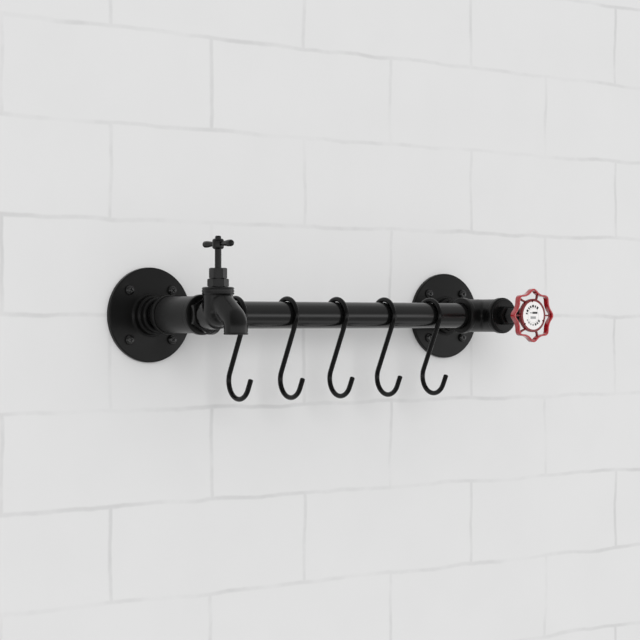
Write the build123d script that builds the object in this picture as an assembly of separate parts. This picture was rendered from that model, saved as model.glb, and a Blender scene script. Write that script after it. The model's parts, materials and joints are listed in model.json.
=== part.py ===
from build123d import *
import math
import os

# Hook rail built from threaded pipe fittings, with a bib tap at one end and a handwheel at the other.
# Millimetres. X runs along the rail, Y points into the wall and Z is up.
# The origin lies on the wall, halfway between the centres of the two flanges.

# Layout
flange_spacing = 327.4      # centre to centre of the wall flanges
rail_out = 57.0             # rail axis from the wall

# Fits
thread_gap = 0.05           # radial room of a screwed joint
run_gap = 0.05              # radial room of a shaft that turns in a bore
hang_gap = 0.30             # hook wire above the top of the rail

# Pipe
pipe_od = 23.0
pipe_wall = 2.6
thread_depth = 13.0         # pipe screwed into a socket
nipple_back = 3.0           # nipple end from the wall

# Wall flange
flange_d = 80.0
flange_t = 4.2
flange_edge_round = 1.0
hub_base_r = 16.5
hub_step_h = 11.0
hub_top_r = 14.8
hub_h = 18.0
hub_base_fillet = 2.5
hub_step_fillet = 1.2
screw_circle_d = 58.8
screws_per_flange = 4

# Wall screw
screw_thread_r = 2.1
screw_neck_r = 2.25         # plain neck inside the flange
screw_hole_gap = 0.3
screw_head_r = 4.25
screw_head_h = 2.8
screw_in_wall = 28.0
screw_point_h = 5.0
recess_w = 0.9
recess_span = 3.4
recess_depth = 1.5

# Tee
tee_half = 28.0             # centre to each open end
tee_r = 15.1
bead_r = 16.4
bead_w = 5.5
bead_round = 1.1
waterway_r = 9.0
socket_depth = 14.0

# S hook
hook_count = 5
hook_first_gap = 22.0       # first hook from the left tee
hook_last_gap = 36.9        # last hook from the right tee
wire_r = 2.15
loop_r = 14.1               # upper loop, to the middle of the wire
bend_r = 15.0               # lower bend, to the middle of the wire
shank_len = 47.0
shank_lean = 26.3           # degrees from upright
hook_tip_len = 9.3
tip_round = 0.8

# Tap body
lock_nut_af = 25.6
lock_nut_t = 6.2
stem_reach = 15.2           # lock nut to stem axis
barrel_r = 11.8
bulb_r = 12.4
bulb_z = 2.4
neck_r = 12.0
collar_r = 12.9
collar_base_z = 15.7
collar_h = 6.3
collar_round = 1.4
collar_groove_w = 0.9
collar_groove_depth = 0.45
collar_groove_gap = 2.25
spout_r = 9.5
spout_slope = 36.0          # degrees down from the horizontal
spout_bend_z = -5.0         # where the sloping and the upright middle lines would cross
spout_bend_r = 10.0
spout_root = 3.0            # start of the spout in front of the stem axis
spout_reach = 25.2          # stem axis to spout mouth
mouth_z = -15.8
mouth_lip_r = 9.6
mouth_lip_h = 1.6
mouth_bore_r = 6.6
mouth_bore_h = 10.8
inlet_bore_r = 5.0
seat_z = 3.8
seat_bore_r = 3.6
chamber_r = 8.2
web_t = 2.0                 # metal between the inlet passage and the seat
passage_gap = 0.2           # seat land and bonnet thread to the passage behind the spout

# Tap head
washer_r = 5.4
washer_t = 3.0
jumper_t = 1.5
pip_r = 1.9
pip_h = 7.5
bonnet_thread_r = 8.9
bonnet_af = 15.0
bonnet_hex_h = 6.7
bonnet_neck_r = 4.9
bonnet_neck_h = 6.8
gland_af = 12.6
gland_h = 8.5
gland_top_t = 1.6
packing_r = 3.9
packing_h = 2.4
screw_block_r = 4.95
screw_block_h = 11.5
stem_r = 2.65
stem_shown = 14.8           # stem between the gland nut and the handle
tap_lift = 4.5              # travel from shut to open
lift_room = 0.6

# Tap handle
handle_hub_r = 4.7
handle_hub_h = 8.5
handle_hub_round = 1.6
handle_span = 40.8
arm_root_r = 1.5
arm_end_r = 2.7
arm_ball_len = 5.4
arm_swell_round = 3.0
arm_z = 4.4                 # arm axis above the bottom of the hub
tang_w = 3.6
cap_screw_r = 2.45
cap_screw_h = 2.3
cap_screw_shank_r = 1.1
cap_screw_depth = 4.5

# Valve end
plug_thread_h = 12.5
plug_rim_r = 15.1
plug_rim_t = 1.5
plug_af = 16.5
plug_hex_h = 6.8
plug_neck_r = 5.2
plug_neck_h = 10.0
plug_bore_h = 6.0
valve_stem_r = 3.0
stem_collar_r = 4.2
stem_collar_t = 2.0
valve_packing_h = 3.6
valve_gland_af = 13.0
valve_gland_gap = 1.2       # bare neck between the plug's hexagon and the gland nut
valve_gland_hex_h = 10.2
valve_gland_cone_h = 4.3
valve_gland_nose_r = 5.0

# Handwheel
wheel_gap = 11.0            # gland nut to the back edge of the rim
rim_depth = 5.5
rim_corner_r = 24.7         # where the hollow arcs of the rim would meet
rim_valley_r = 21.5
rim_wall = 1.7
rim_tip_round = 2.4
lobes = 8
dish_r = 15.0
dish_wall = 1.8
dish_set = 0.6              # back of the dish in front of the back of the rim
dish_h = 3.9
dish_floor_t = 1.2
dish_back_round = 1.0
dish_front_round = 0.4
ledge_w = 0.9
plate_drop = 0.1            # front of the plate behind the front of the dish
plate_t = 0.4
plate_gap = 0.1
tab_w = 2.2
tab_reach = 1.3
tab_t = 0.35
tab_angles = (96, 216, -22)
spoke_w = 1.5
spoke_t = 2.6
spoke_set = 1.4             # back of the spokes in front of the back of the rim
spoke_angles = ((0, 0), (73, 73), (120, 135), (180, 180), (-120, -135), (-73, -73))
wheel_boss_r = 5.6
wheel_boss_h = 7.0
wheel_tang_w = 4.4
wheel_thread_r = 2.0
wheel_nut_af = 7.0
wheel_nut_t = 1.8

pipe_r = pipe_od / 2
socket_r = pipe_r + thread_gap
end_x = flange_spacing / 2
tee_back = rail_out - tee_half
tee_front = rail_out + tee_half
stem_out = tee_front + lock_nut_t + stem_reach
spout_out = stem_out + spout_reach
collar_top_z = collar_base_z + collar_h


def turned(points, rounds=()):
    """Solid turned about Z from (radius, height) corners, some of them rounded."""
    profile = make_face(Polyline(*points, close=True))
    for corner, radius in rounds:
        nearest = profile.vertices().sort_by_distance(Vector(*points[corner]))[0]
        profile = fillet(nearest, radius)
    return revolve(Plane.XZ * profile, Axis.Z)


def rod(radius, low, high):
    """Round bar about Z between two heights."""
    return Pos(0, 0, low) * Cylinder(radius, high - low, align=(Align.CENTER, Align.CENTER, Align.MIN))


def hexagon(across_flats, low, high, turn=0.0):
    """Hexagonal bar about Z between two heights, with its end corners bevelled."""
    half = across_flats / 2
    corner = half / math.cos(math.pi / 6)
    bevel = (corner - half) / 2
    bar = extrude(RegularPolygon(half, 6, major_radius=False, rotation=turn), high - low)
    trim = turned([(0, 0), (half, 0), (corner, bevel), (corner, high - low - bevel),
                   (half, high - low), (0, high - low)])
    return Pos(0, 0, low) * (bar & trim)


def on_run(x):
    """Frame on the wall whose Z points out into the room and whose Y points up."""
    return Location((x, 0, 0), (90, 0, 0))


def floor_flange():
    """Round flange with a stepped hub, bored through and drilled for its screws."""
    body = turned(
        [(socket_r, 0), (flange_d / 2, 0), (flange_d / 2, flange_t), (hub_base_r, flange_t),
         (hub_base_r, hub_step_h), (hub_top_r, hub_step_h), (hub_top_r, hub_h), (socket_r, hub_h)],
        [(2, flange_edge_round), (3, hub_base_fillet), (4, hub_step_fillet), (6, hub_step_fillet)])
    holes = screw_places() * rod(screw_neck_r + screw_hole_gap, 0, flange_t)
    return body - holes


def screw_places():
    """Places of the screws round a flange, the first one half a step from the horizontal."""
    step = 360 / screws_per_flange
    return PolarLocations(screw_circle_d / 2, screws_per_flange, start_angle=step / 2)


def wall_screw():
    """Pan head screw with a cross recess, its head seated on the flange."""
    top = flange_t + screw_head_h
    body = turned(
        [(0, -screw_in_wall), (screw_thread_r, screw_point_h - screw_in_wall), (screw_thread_r, 0),
         (screw_neck_r, 0), (screw_neck_r, flange_t),
         (screw_head_r, flange_t), (screw_head_r, top), (0, top)],
        [(6, 0.75 * screw_head_h)])
    slot = Box(recess_span, recess_w, 2 * recess_depth)
    cross = slot + Rot(0, 0, 90) * slot
    return body - Pos(0, 0, top) * cross


def screw_set():
    """The screws of one flange, as separate solids, each turned a little differently."""
    places = list(screw_places())
    return Compound([place * Rot(0, 0, 25 * number) * wall_screw() for number, place in enumerate(places)])


def pipe(low, high):
    """Length of pipe about Z."""
    return rod(pipe_r, low, high) - rod(pipe_r - pipe_wall, low, high)


def beaded_end():
    """Outside of one arm of a tee, from its middle to the bead at its open end."""
    arm = turned([(0, 0), (tee_r, 0), (tee_r, tee_half), (0, tee_half)])
    bead = turned([(0, tee_half - bead_w), (bead_r, tee_half - bead_w), (bead_r, tee_half), (0, tee_half)],
                  [(1, bead_round), (2, bead_round)])
    return arm + bead


def tee(branch_turn):
    """Tee about Z with its branch turned to +X or -X, and a threaded socket at each end."""
    turns = [Rot(0, 0, 0), Rot(180, 0, 0), Rot(0, branch_turn, 0)]
    outside = Part() + [turn * beaded_end() for turn in turns]
    socket = rod(socket_r, tee_half - socket_depth, tee_half) + rod(waterway_r, 0, tee_half)
    inside = Part() + [turn * socket for turn in turns]
    return Pos(0, 0, rail_out) * (outside - inside)


def rail_pipe():
    """Pipe between the branches of the two tees."""
    half = end_x - tee_half + thread_depth
    return Location((0, -rail_out, 0), (0, 90, 0)) * pipe(-half, half)


def bent_bar(path, radius):
    """Round bar along a path."""
    return sweep(Plane(path @ 0, z_dir=path % 0) * Circle(radius), path=path)


def s_hook():
    """Hook bent from round wire, its upper loop hung over the rail, in the plane X = 0."""
    lean = math.radians(shank_lean)
    down = Vector(0, math.sin(lean), -math.cos(lean))
    across = Vector(0, math.cos(lean), math.sin(lean))
    loop_drop = loop_r - wire_r - pipe_r - hang_gap
    loop_centre = Vector(0, -rail_out, -loop_drop)
    shank_top = loop_centre - across * loop_r
    shank_end = shank_top + down * shank_len
    bend_centre = shank_end - across * bend_r
    loop_end = loop_centre + across * loop_r
    bend_end = bend_centre - across * bend_r
    path = Wire([
        Edge.make_line(loop_end + down * hook_tip_len, loop_end),
        Edge.make_three_point_arc(loop_end, loop_centre - down * loop_r, shank_top),
        Edge.make_line(shank_top, shank_end),
        Edge.make_three_point_arc(shank_end, bend_centre + down * bend_r, bend_end),
        Edge.make_line(bend_end, bend_end - down * hook_tip_len)])
    wire = bent_bar(path, wire_r)
    rings = wire.edges().filter_by(GeomType.CIRCLE)
    ends = [path @ 0, path @ 1]
    tips = [ring for ring in rings if min((ring.arc_center - end).length for end in ends) < tip_round]
    return fillet(tips, tip_round)


def hook_places():
    """Places of the hooks along the rail, evenly spaced between the two tees."""
    first = tee_half - end_x + hook_first_gap
    last = end_x - tee_half - hook_last_gap
    pitch = (last - first) / max(1, hook_count - 1)
    return [first + number * pitch for number in range(hook_count)]


def lock_nut():
    """Hexagon nut on the tap's inlet, tight against the tee."""
    nut = hexagon(lock_nut_af, tee_front, tee_front + lock_nut_t, turn=30)
    return nut - rod(socket_r, tee_front, tee_front + lock_nut_t)


def spout_path():
    """Middle line of the spout in the plane X = 0, down a slope and round a bend to the mouth."""
    slope = math.radians(spout_slope)
    down = Vector(0, -math.cos(slope), -math.sin(slope))
    crossing = Vector(0, -spout_out, spout_bend_z)
    start = crossing - down * ((spout_reach - spout_root) / math.cos(slope))
    tangent = spout_bend_r * math.tan((math.pi / 2 - slope) / 2)
    bend_start = crossing - down * tangent
    bend_end = crossing - Vector(0, 0, tangent)
    centre = bend_end + Vector(0, spout_bend_r, 0)
    bend_middle = centre + (crossing - centre).normalized() * spout_bend_r
    return Wire([
        Edge.make_line(start, bend_start),
        Edge.make_three_point_arc(bend_start, bend_middle, bend_end),
        Edge.make_line(bend_end, Vector(0, -spout_out, mouth_z))])


def spout_bore():
    """Bore of the mouth and the sloping passage to it, which clears the seat land and the bonnet's thread."""
    slope = math.radians(spout_slope)
    land = Vector(0, -stem_out - washer_r, seat_z)
    thread = Vector(0, -stem_out - bonnet_thread_r, bonnet_low())
    across = Vector(0, -math.sin(slope), math.cos(slope))
    passage_r = (thread - land).dot(across) / 2 - passage_gap
    middle = (land + thread) * 0.5
    length = (spout_out + middle.Y) / math.cos(slope)
    passage = Location(middle, (90 + spout_slope, 0, 0)) * rod(passage_r, 0, length)
    return passage + Pos(0, -spout_out, 0) * rod(mouth_bore_r, mouth_z, mouth_z + mouth_bore_h)


def tap_outside():
    """Outer form of the tap body: inlet barrel, bulb, neck with its collar, and bent spout."""
    run = on_run(0)
    middle = Pos(0, -stem_out, 0)
    inlet = run * rod(pipe_r, tee_front - thread_depth, tee_front + lock_nut_t)
    barrel = run * rod(barrel_r, tee_front + lock_nut_t, stem_out)
    bulb = middle * Location((0, 0, bulb_z), (90, 0, 0)) * Sphere(bulb_r)
    neck = middle * rod(neck_r, bulb_z, collar_base_z)
    collar = middle * turned(
        [(0, collar_base_z), (collar_r, collar_base_z), (collar_r, collar_top_z), (0, collar_top_z)],
        [(1, collar_round), (2, collar_round)])
    spout = bent_bar(spout_path(), spout_r)
    lip = Pos(0, -spout_out, 0) * rod(mouth_lip_r, mouth_z, mouth_z + mouth_lip_h)
    return inlet + barrel + bulb + neck + collar + spout + lip


def collar_grooves():
    """Two fine grooves round the collar of the tap body."""
    grooves = []
    for side in (-1, 1):
        middle_z = collar_base_z + collar_h / 2 + side * collar_groove_gap / 2
        low, high = middle_z - collar_groove_w / 2, middle_z + collar_groove_w / 2
        ring = rod(collar_r + collar_groove_w, low, high) - rod(collar_r - collar_groove_depth, low, high)
        grooves.append(Pos(0, -stem_out, 0) * ring)
    return grooves


def tap_body():
    """Tap body with its inlet passage, seat, chamber and spout bore."""
    middle = Pos(0, -stem_out, 0)
    inlet_z = seat_z - web_t - inlet_bore_r
    inlet_run = on_run(0) * Pos(0, inlet_z, 0)
    inlet_end = stem_out + seat_bore_r + passage_gap
    inlet = inlet_run * rod(inlet_bore_r, tee_front - thread_depth, inlet_end)
    seat = middle * rod(seat_bore_r, inlet_z, seat_z)
    chamber = middle * rod(chamber_r, seat_z, collar_top_z)
    bonnet_socket = middle * rod(bonnet_thread_r + thread_gap, bonnet_low(), collar_top_z)
    return tap_outside() - collar_grooves() - inlet - seat - chamber - bonnet_socket - spout_bore()


def bonnet_low():
    """Height of the bonnet's lower end, clear of the jumper when the tap is open."""
    return seat_z + washer_t + jumper_t + tap_lift + lift_room


def tap_head_heights():
    """Heights of the tap's head parts, worked up from the seat and from the collar."""
    plate_z = seat_z + washer_t
    block_z = plate_z + jumper_t
    hex_top = collar_top_z + bonnet_hex_h
    gland_top = hex_top + gland_h
    return plate_z, block_z, hex_top, gland_top, gland_top + stem_shown


def tap_washer():
    """Washer that closes on the seat."""
    return rod(washer_r, seat_z, seat_z + washer_t)


def tap_jumper():
    """Jumper above the washer, whose pip stands in the hollow end of the spindle."""
    plate_z, block_z, _, _, _ = tap_head_heights()
    return rod(washer_r, plate_z, block_z) + rod(pip_r, plate_z, block_z + pip_h)


def tap_bonnet():
    """Bonnet screwed into the tap body, bored for the spindle, with a threaded neck for the gland nut."""
    _, block_z, hex_top, _, _ = tap_head_heights()
    low = bonnet_low()
    neck_top = hex_top + bonnet_neck_h
    travel_top = block_z + screw_block_h + tap_lift + lift_room
    outside = rod(bonnet_thread_r, low, collar_top_z) + rod(bonnet_neck_r, collar_top_z, neck_top)
    outside += hexagon(bonnet_af, collar_top_z, hex_top, turn=30)
    bores = rod(screw_block_r + run_gap, low, travel_top) + rod(stem_r + run_gap, low, neck_top)
    bores += rod(packing_r + thread_gap, packing_low(), neck_top)
    return outside - bores


def packing_low():
    """Height of the bottom of the stem packing."""
    _, _, hex_top, _, _ = tap_head_heights()
    return hex_top + bonnet_neck_h - 2 * packing_h


def tap_packing():
    """Packing ring round the stem."""
    return rod(packing_r, packing_low(), packing_low() + packing_h) - rod(
        stem_r + run_gap, packing_low(), packing_low() + packing_h)


def tap_gland_nut():
    """Gland nut over the neck of the bonnet, with a nose that presses on the packing."""
    _, _, hex_top, gland_top, _ = tap_head_heights()
    nut = hexagon(gland_af, hex_top, gland_top, turn=30)
    nut -= rod(bonnet_neck_r + thread_gap, hex_top, gland_top - gland_top_t)
    nut += rod(packing_r, packing_low() + packing_h, gland_top - gland_top_t)
    return nut - rod(stem_r + run_gap, hex_top, gland_top)


def tap_spindle():
    """Spindle with its screw block, hollow for the pip, and a square end for the handle."""
    _, block_z, _, _, hub_z = tap_head_heights()
    body = rod(screw_block_r, block_z, block_z + screw_block_h) + rod(stem_r, block_z, hub_z)
    tang_h = handle_hub_h - cap_screw_h
    tang = Pos(0, 0, hub_z) * Box(tang_w, tang_w, tang_h, align=(Align.CENTER, Align.CENTER, Align.MIN))
    hollow = rod(pip_r + run_gap, block_z, block_z + pip_h + lift_room)
    screw_hole = rod(cap_screw_shank_r + thread_gap, hub_z + tang_h - cap_screw_depth, hub_z + tang_h)
    return body + tang - hollow - screw_hole


def handle_arm():
    """One arm of the handle about Z, thin at its root and thick and round at its end."""
    length = handle_span / 2
    ball_z = length - arm_ball_len
    return turned(
        [(0, 0), (arm_root_r, 0), (arm_root_r, handle_hub_r), (arm_end_r, ball_z),
         (arm_end_r, length), (0, length)],
        [(3, arm_swell_round), (4, 0.8 * arm_end_r)])


def tap_handle():
    """Bar handle with a round hub, its two arms in line with the tap."""
    _, _, _, _, hub_z = tap_head_heights()
    top = hub_z + handle_hub_h
    hub = turned([(0, hub_z), (handle_hub_r, hub_z), (handle_hub_r, top), (0, top)],
                 [(1, handle_hub_round), (2, handle_hub_round)])
    for turn in (90, -90):
        hub += Pos(0, 0, hub_z + arm_z) * Rot(turn, 0, 0) * handle_arm()
    hole_w = tang_w + 2 * thread_gap
    hole = Box(hole_w, hole_w, handle_hub_h - cap_screw_h, align=(Align.CENTER, Align.CENTER, Align.MIN))
    return hub - Pos(0, 0, hub_z) * hole - rod(cap_screw_shank_r + thread_gap, hub_z, top)


def tap_cap_screw():
    """Round headed screw that holds the handle on the spindle."""
    _, _, _, _, hub_z = tap_head_heights()
    top = hub_z + handle_hub_h
    head = turned([(0, top), (cap_screw_r, top), (cap_screw_r, top + cap_screw_h), (0, top + cap_screw_h)],
                  [(2, 0.5 * cap_screw_h)])
    return head + rod(cap_screw_shank_r, top - cap_screw_h - cap_screw_depth, top)


def valve_heights():
    """Distances of the valve's collar and packing from the wall."""
    hex_front = tee_front + plug_rim_t + plug_hex_h
    neck_front = hex_front + plug_neck_h
    collar_back = neck_front - 2 * valve_packing_h - stem_collar_t
    return hex_front, neck_front, collar_back, collar_back + stem_collar_t


def gland_distances():
    """Distances of the valve's gland nut from the wall: its back, its shoulder and its front."""
    hex_front, _, _, _ = valve_heights()
    back = hex_front + valve_gland_gap
    shoulder = back + valve_gland_hex_h
    return back, shoulder, shoulder + valve_gland_cone_h


def wheel_distances():
    """Distances of the handwheel from the wall: back of its rim, back of its dish and front of its dish."""
    _, _, gland_front = gland_distances()
    rim_back = gland_front + wheel_gap
    dish_back = rim_back + dish_set
    return rim_back, dish_back, dish_back + dish_h


def valve_plug():
    """Plug screwed into the tee, with a thin rim, a hexagon and a threaded neck."""
    hex_front, neck_front, collar_back, _ = valve_heights()
    plug_back = tee_front - plug_thread_h
    body = rod(pipe_r, plug_back, tee_front) + rod(plug_neck_r, tee_front, neck_front)
    body += turned([(0, tee_front), (plug_rim_r, tee_front), (plug_rim_r, tee_front + plug_rim_t),
                    (0, tee_front + plug_rim_t)], [(2, 0.8 * plug_rim_t)])
    body += hexagon(plug_af, tee_front + plug_rim_t, hex_front)
    stem_bore = rod(valve_stem_r + run_gap, tee_front - plug_bore_h, neck_front)
    return body - stem_bore - rod(stem_collar_r + run_gap, collar_back, neck_front)


def valve_packing():
    """Packing ring in front of the spindle's collar."""
    _, _, _, low = valve_heights()
    return rod(stem_collar_r, low + run_gap, low + valve_packing_h) - rod(
        valve_stem_r + run_gap, low, low + valve_packing_h)


def valve_gland_nut():
    """Gland nut of the valve, hexagonal behind and conical in front."""
    _, neck_front, _, packing_back = valve_heights()
    back, shoulder, front = gland_distances()
    nut = hexagon(valve_gland_af, back, shoulder)
    nut += turned([(0, shoulder), (valve_gland_af / 2, shoulder), (valve_gland_nose_r, front), (0, front)])
    nut -= rod(plug_neck_r + thread_gap, back, neck_front)
    nut += rod(stem_collar_r, packing_back + valve_packing_h, neck_front)
    return nut - rod(valve_stem_r + run_gap, back, front)


def valve_spindle():
    """Spindle of the handwheel, with its collar, square seat and threaded end."""
    _, _, collar_back, packing_back = valve_heights()
    _, dish_back, _ = wheel_distances()
    boss_back = dish_back - wheel_boss_h
    floor_front = dish_back + dish_floor_t
    body = rod(valve_stem_r, tee_front - plug_bore_h + lift_room, boss_back)
    body += rod(stem_collar_r, collar_back + run_gap, packing_back)
    square = Box(wheel_tang_w, wheel_tang_w, floor_front - boss_back,
                 align=(Align.CENTER, Align.CENTER, Align.MIN))
    return body + Pos(0, 0, boss_back) * square + rod(wheel_thread_r, floor_front, floor_front + wheel_nut_t)


def wheel_outline(inset):
    """Closed outline of the rim: hollow arcs between rounded tips, drawn inside by an inset."""
    tip = rim_corner_r - inset
    valley = rim_valley_r - inset
    step = math.tau / lobes
    arcs = []
    for lobe in range(lobes):
        points = [(tip, lobe * step), (valley, (lobe + 0.5) * step), (tip, (lobe + 1) * step)]
        arcs.append(Edge.make_three_point_arc(*[Vector(r * math.cos(a), r * math.sin(a)) for r, a in points]))
    face = Face(Wire(arcs))
    return fillet(face.vertices(), rim_tip_round - min(inset, rim_tip_round / 2))


def wheel_spoke(root_angle, tip_angle):
    """Thin spoke from the dish to the rim, straight or slanting, on a plane at the back of the spokes."""
    root_r = dish_r - dish_wall / 2
    tip_r = rim_valley_r - rim_wall / 2
    if tip_angle % (360 / lobes) == 0:
        tip_r = rim_corner_r - rim_wall
    root = Vector(root_r, 0).rotate(Axis.Z, root_angle)
    tip = Vector(tip_r, 0).rotate(Axis.Z, tip_angle)
    along = tip - root
    turn = math.degrees(math.atan2(along.Y, along.X))
    bar = Box(along.length, spoke_w, spoke_t, align=(Align.MIN, Align.CENTER, Align.MIN))
    return Pos(root.X, root.Y, 0) * Rot(0, 0, turn) * bar


def handwheel():
    """Handwheel: lobed rim band, thin spokes, dish with its ledge and tabs, and a square bored boss."""
    rim_back, dish_back, dish_front = wheel_distances()
    band = extrude(wheel_outline(0) - wheel_outline(rim_wall), rim_depth)
    wheel = Pos(0, 0, rim_back) * band
    for root_angle, tip_angle in spoke_angles:
        wheel += Pos(0, 0, rim_back + spoke_set) * wheel_spoke(root_angle, tip_angle)
    floor_front = dish_back + dish_floor_t
    plate_back = dish_front - plate_drop - plate_t
    inner_r = dish_r - dish_wall
    ledge_r = inner_r - ledge_w
    wheel += turned(
        [(0, dish_back), (dish_r, dish_back), (dish_r, dish_front), (inner_r, dish_front),
         (inner_r, plate_back), (ledge_r, plate_back), (ledge_r, floor_front), (0, floor_front)],
        [(1, dish_back_round), (2, dish_front_round)])
    wheel += rod(wheel_boss_r, dish_back - wheel_boss_h, dish_back)
    for angle in tab_angles:
        reach = dish_wall / 2 + tab_reach
        tab = Box(reach, tab_w, tab_t, align=(Align.MIN, Align.CENTER, Align.MIN))
        place = Pos(inner_r - tab_reach, 0, plate_back + plate_t)
        wheel += Rot(0, 0, angle) * place * tab
    hole_w = wheel_tang_w + 2 * thread_gap
    hole_h = floor_front - dish_back + wheel_boss_h
    hole = Box(hole_w, hole_w, hole_h, align=(Align.CENTER, Align.CENTER, Align.MIN))
    return wheel - Pos(0, 0, dish_back - wheel_boss_h) * hole


def wheel_plate():
    """Round plate in the dish, held by the tabs."""
    _, _, dish_front = wheel_distances()
    front = dish_front - plate_drop
    return rod(dish_r - dish_wall - plate_gap, front - plate_t, front)


def wheel_nut():
    """Nut that holds the handwheel on its spindle, under the plate."""
    _, dish_back, _ = wheel_distances()
    low = dish_back + dish_floor_t
    nut = hexagon(wheel_nut_af, low, low + wheel_nut_t)
    return nut - rod(wheel_thread_r + thread_gap, low, low + wheel_nut_t)


def wall_end_parts(side, x, branch_turn):
    """Flange, screws, nipple and tee at one end of the rail."""
    run = on_run(x)
    return {
        f"{side}_flange": run * floor_flange(),
        f"{side}_wall_screws": run * screw_set(),
        f"{side}_nipple": run * pipe(nipple_back, tee_back + thread_depth),
        f"{side}_tee": run * tee(branch_turn)}


def tap_parts():
    """Every piece of the tap, in front of the left tee."""
    upright = Pos(-end_x, -stem_out, 0)
    return {
        "tap_lock_nut": on_run(-end_x) * lock_nut(),
        "tap_body": Pos(-end_x, 0, 0) * tap_body(),
        "tap_washer": upright * tap_washer(),
        "tap_jumper": upright * tap_jumper(),
        "tap_bonnet": upright * tap_bonnet(),
        "tap_packing": upright * tap_packing(),
        "tap_gland_nut": upright * tap_gland_nut(),
        "tap_spindle": upright * tap_spindle(),
        "tap_handle": upright * tap_handle(),
        "tap_cap_screw": upright * tap_cap_screw()}


def valve_parts():
    """Every piece of the valve end, in front of the right tee."""
    run = on_run(end_x)
    return {
        "valve_plug": run * valve_plug(),
        "valve_packing": run * valve_packing(),
        "valve_gland_nut": run * valve_gland_nut(),
        "valve_spindle": run * valve_spindle(),
        "handwheel": run * handwheel(),
        "wheel_plate": run * wheel_plate(),
        "wheel_nut": run * wheel_nut()}


def all_parts():
    """Every node of the hook rail by name."""
    parts = {"rail_pipe": rail_pipe()}
    parts.update(wall_end_parts("left", -end_x, 90))
    parts.update(wall_end_parts("right", end_x, -90))
    parts.update(tap_parts())
    parts.update(valve_parts())
    hook = s_hook()
    for number, x in enumerate(hook_places()):
        parts[f"hook_{number + 1}"] = Pos(x, 0, 0) * hook
    return parts


os.makedirs("parts", exist_ok=True)
for name, part in all_parts().items():
    export_step(part, f"parts/{name}.step")
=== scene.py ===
import json
import logging
import math
from collections.abc import Callable, Iterable, Sequence
from dataclasses import dataclass
from enum import Enum

import bmesh
import bpy
from bmesh.types import BMEdge, BMesh, BMVert
from bpy.types import Material, Node, NodeSocket, Object, ShaderNodeTree
from mathutils import Matrix, Vector


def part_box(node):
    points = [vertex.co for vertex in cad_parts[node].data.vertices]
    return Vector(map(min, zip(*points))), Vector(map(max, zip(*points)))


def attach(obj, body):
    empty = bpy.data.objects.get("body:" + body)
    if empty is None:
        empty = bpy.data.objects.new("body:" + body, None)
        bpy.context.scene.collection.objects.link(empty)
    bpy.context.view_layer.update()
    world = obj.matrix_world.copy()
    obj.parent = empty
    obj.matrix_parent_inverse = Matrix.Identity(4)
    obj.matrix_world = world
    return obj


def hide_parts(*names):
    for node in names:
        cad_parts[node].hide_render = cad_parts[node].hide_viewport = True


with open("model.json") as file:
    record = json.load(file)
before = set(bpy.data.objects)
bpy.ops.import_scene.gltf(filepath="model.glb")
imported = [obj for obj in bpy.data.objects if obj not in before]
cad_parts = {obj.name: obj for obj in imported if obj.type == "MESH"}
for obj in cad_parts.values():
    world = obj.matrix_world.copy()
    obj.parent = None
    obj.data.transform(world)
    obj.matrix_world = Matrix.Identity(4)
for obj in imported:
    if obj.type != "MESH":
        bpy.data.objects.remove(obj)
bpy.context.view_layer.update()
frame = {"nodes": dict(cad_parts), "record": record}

# Shared lengths in millimetres, numbers of steps in a full turn, and shares

MM = 0.001
ROUND_STEPS = 72
FINE_STEPS = 96
SMALL_STEPS = 40
SPARE = 1.0
MERGE_DISTANCE = 1e-4
SLIVER = 8e-3
STRIP_EDGE = 0.25
PIPE_EDGE = 0.3
NUT_BEVEL_SHARE = 0.55
NUT_RIM_SHARE = 0.97
THREAD_FOOT_SHARE = 0.42
THREAD_TIP_SHARE = 0.06
PIPE_R = 11.5
PIPE_WALL = 2.6
SOCKET_R = 11.55
LUMP_SHARE = 0.22
MOTTLE_PER_MM = 0.05
MOTTLE_RANGE = (0.3, 0.7)
HOOK_COUNT = 5
COAT_ROUGHNESS = 0.12
SMOOTH_ANGLE = math.radians(32)
LOG = logging.getLogger("hook_rail")

Colour = tuple[float, float, float]
Profile = Sequence[tuple[float, float]]


class Side(Enum):
    """The two ends of the rail, with the direction of each along X."""

    LEFT = -1
    RIGHT = 1

    @property
    def word(self) -> str:
        """The word that starts this end's node names."""
        return self.name.lower()


class Cut(Enum):
    """What a second solid does to a first one."""

    TAKE_AWAY = "DIFFERENCE"
    KEEP_COMMON = "INTERSECT"


# Places read from the frame, in millimetres

def node_box(node: str) -> tuple[Vector, Vector]:
    """Lowest and highest corner of a node of the frame.

    Args:
        node: the node's name.

    Returns:
        The two corners in millimetres.
    """
    low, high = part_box(node)
    return low / MM, high / MM


def node_middle(node: str) -> Vector:
    """Middle of a node's box in millimetres."""
    low, high = node_box(node)
    return (low + high) / 2


def out_from_wall(x: float) -> Matrix:
    """Frame on the wall at a place along the rail, whose Z points into the room and Y up."""
    return Matrix.Translation((x, 0, 0)) @ Matrix.Rotation(math.pi / 2, 4, "X")


def turned_about(axis: str, degrees: float) -> Matrix:
    """Turn about one axis through the origin."""
    return Matrix.Rotation(math.radians(degrees), 4, axis)


# Shapes

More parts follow.
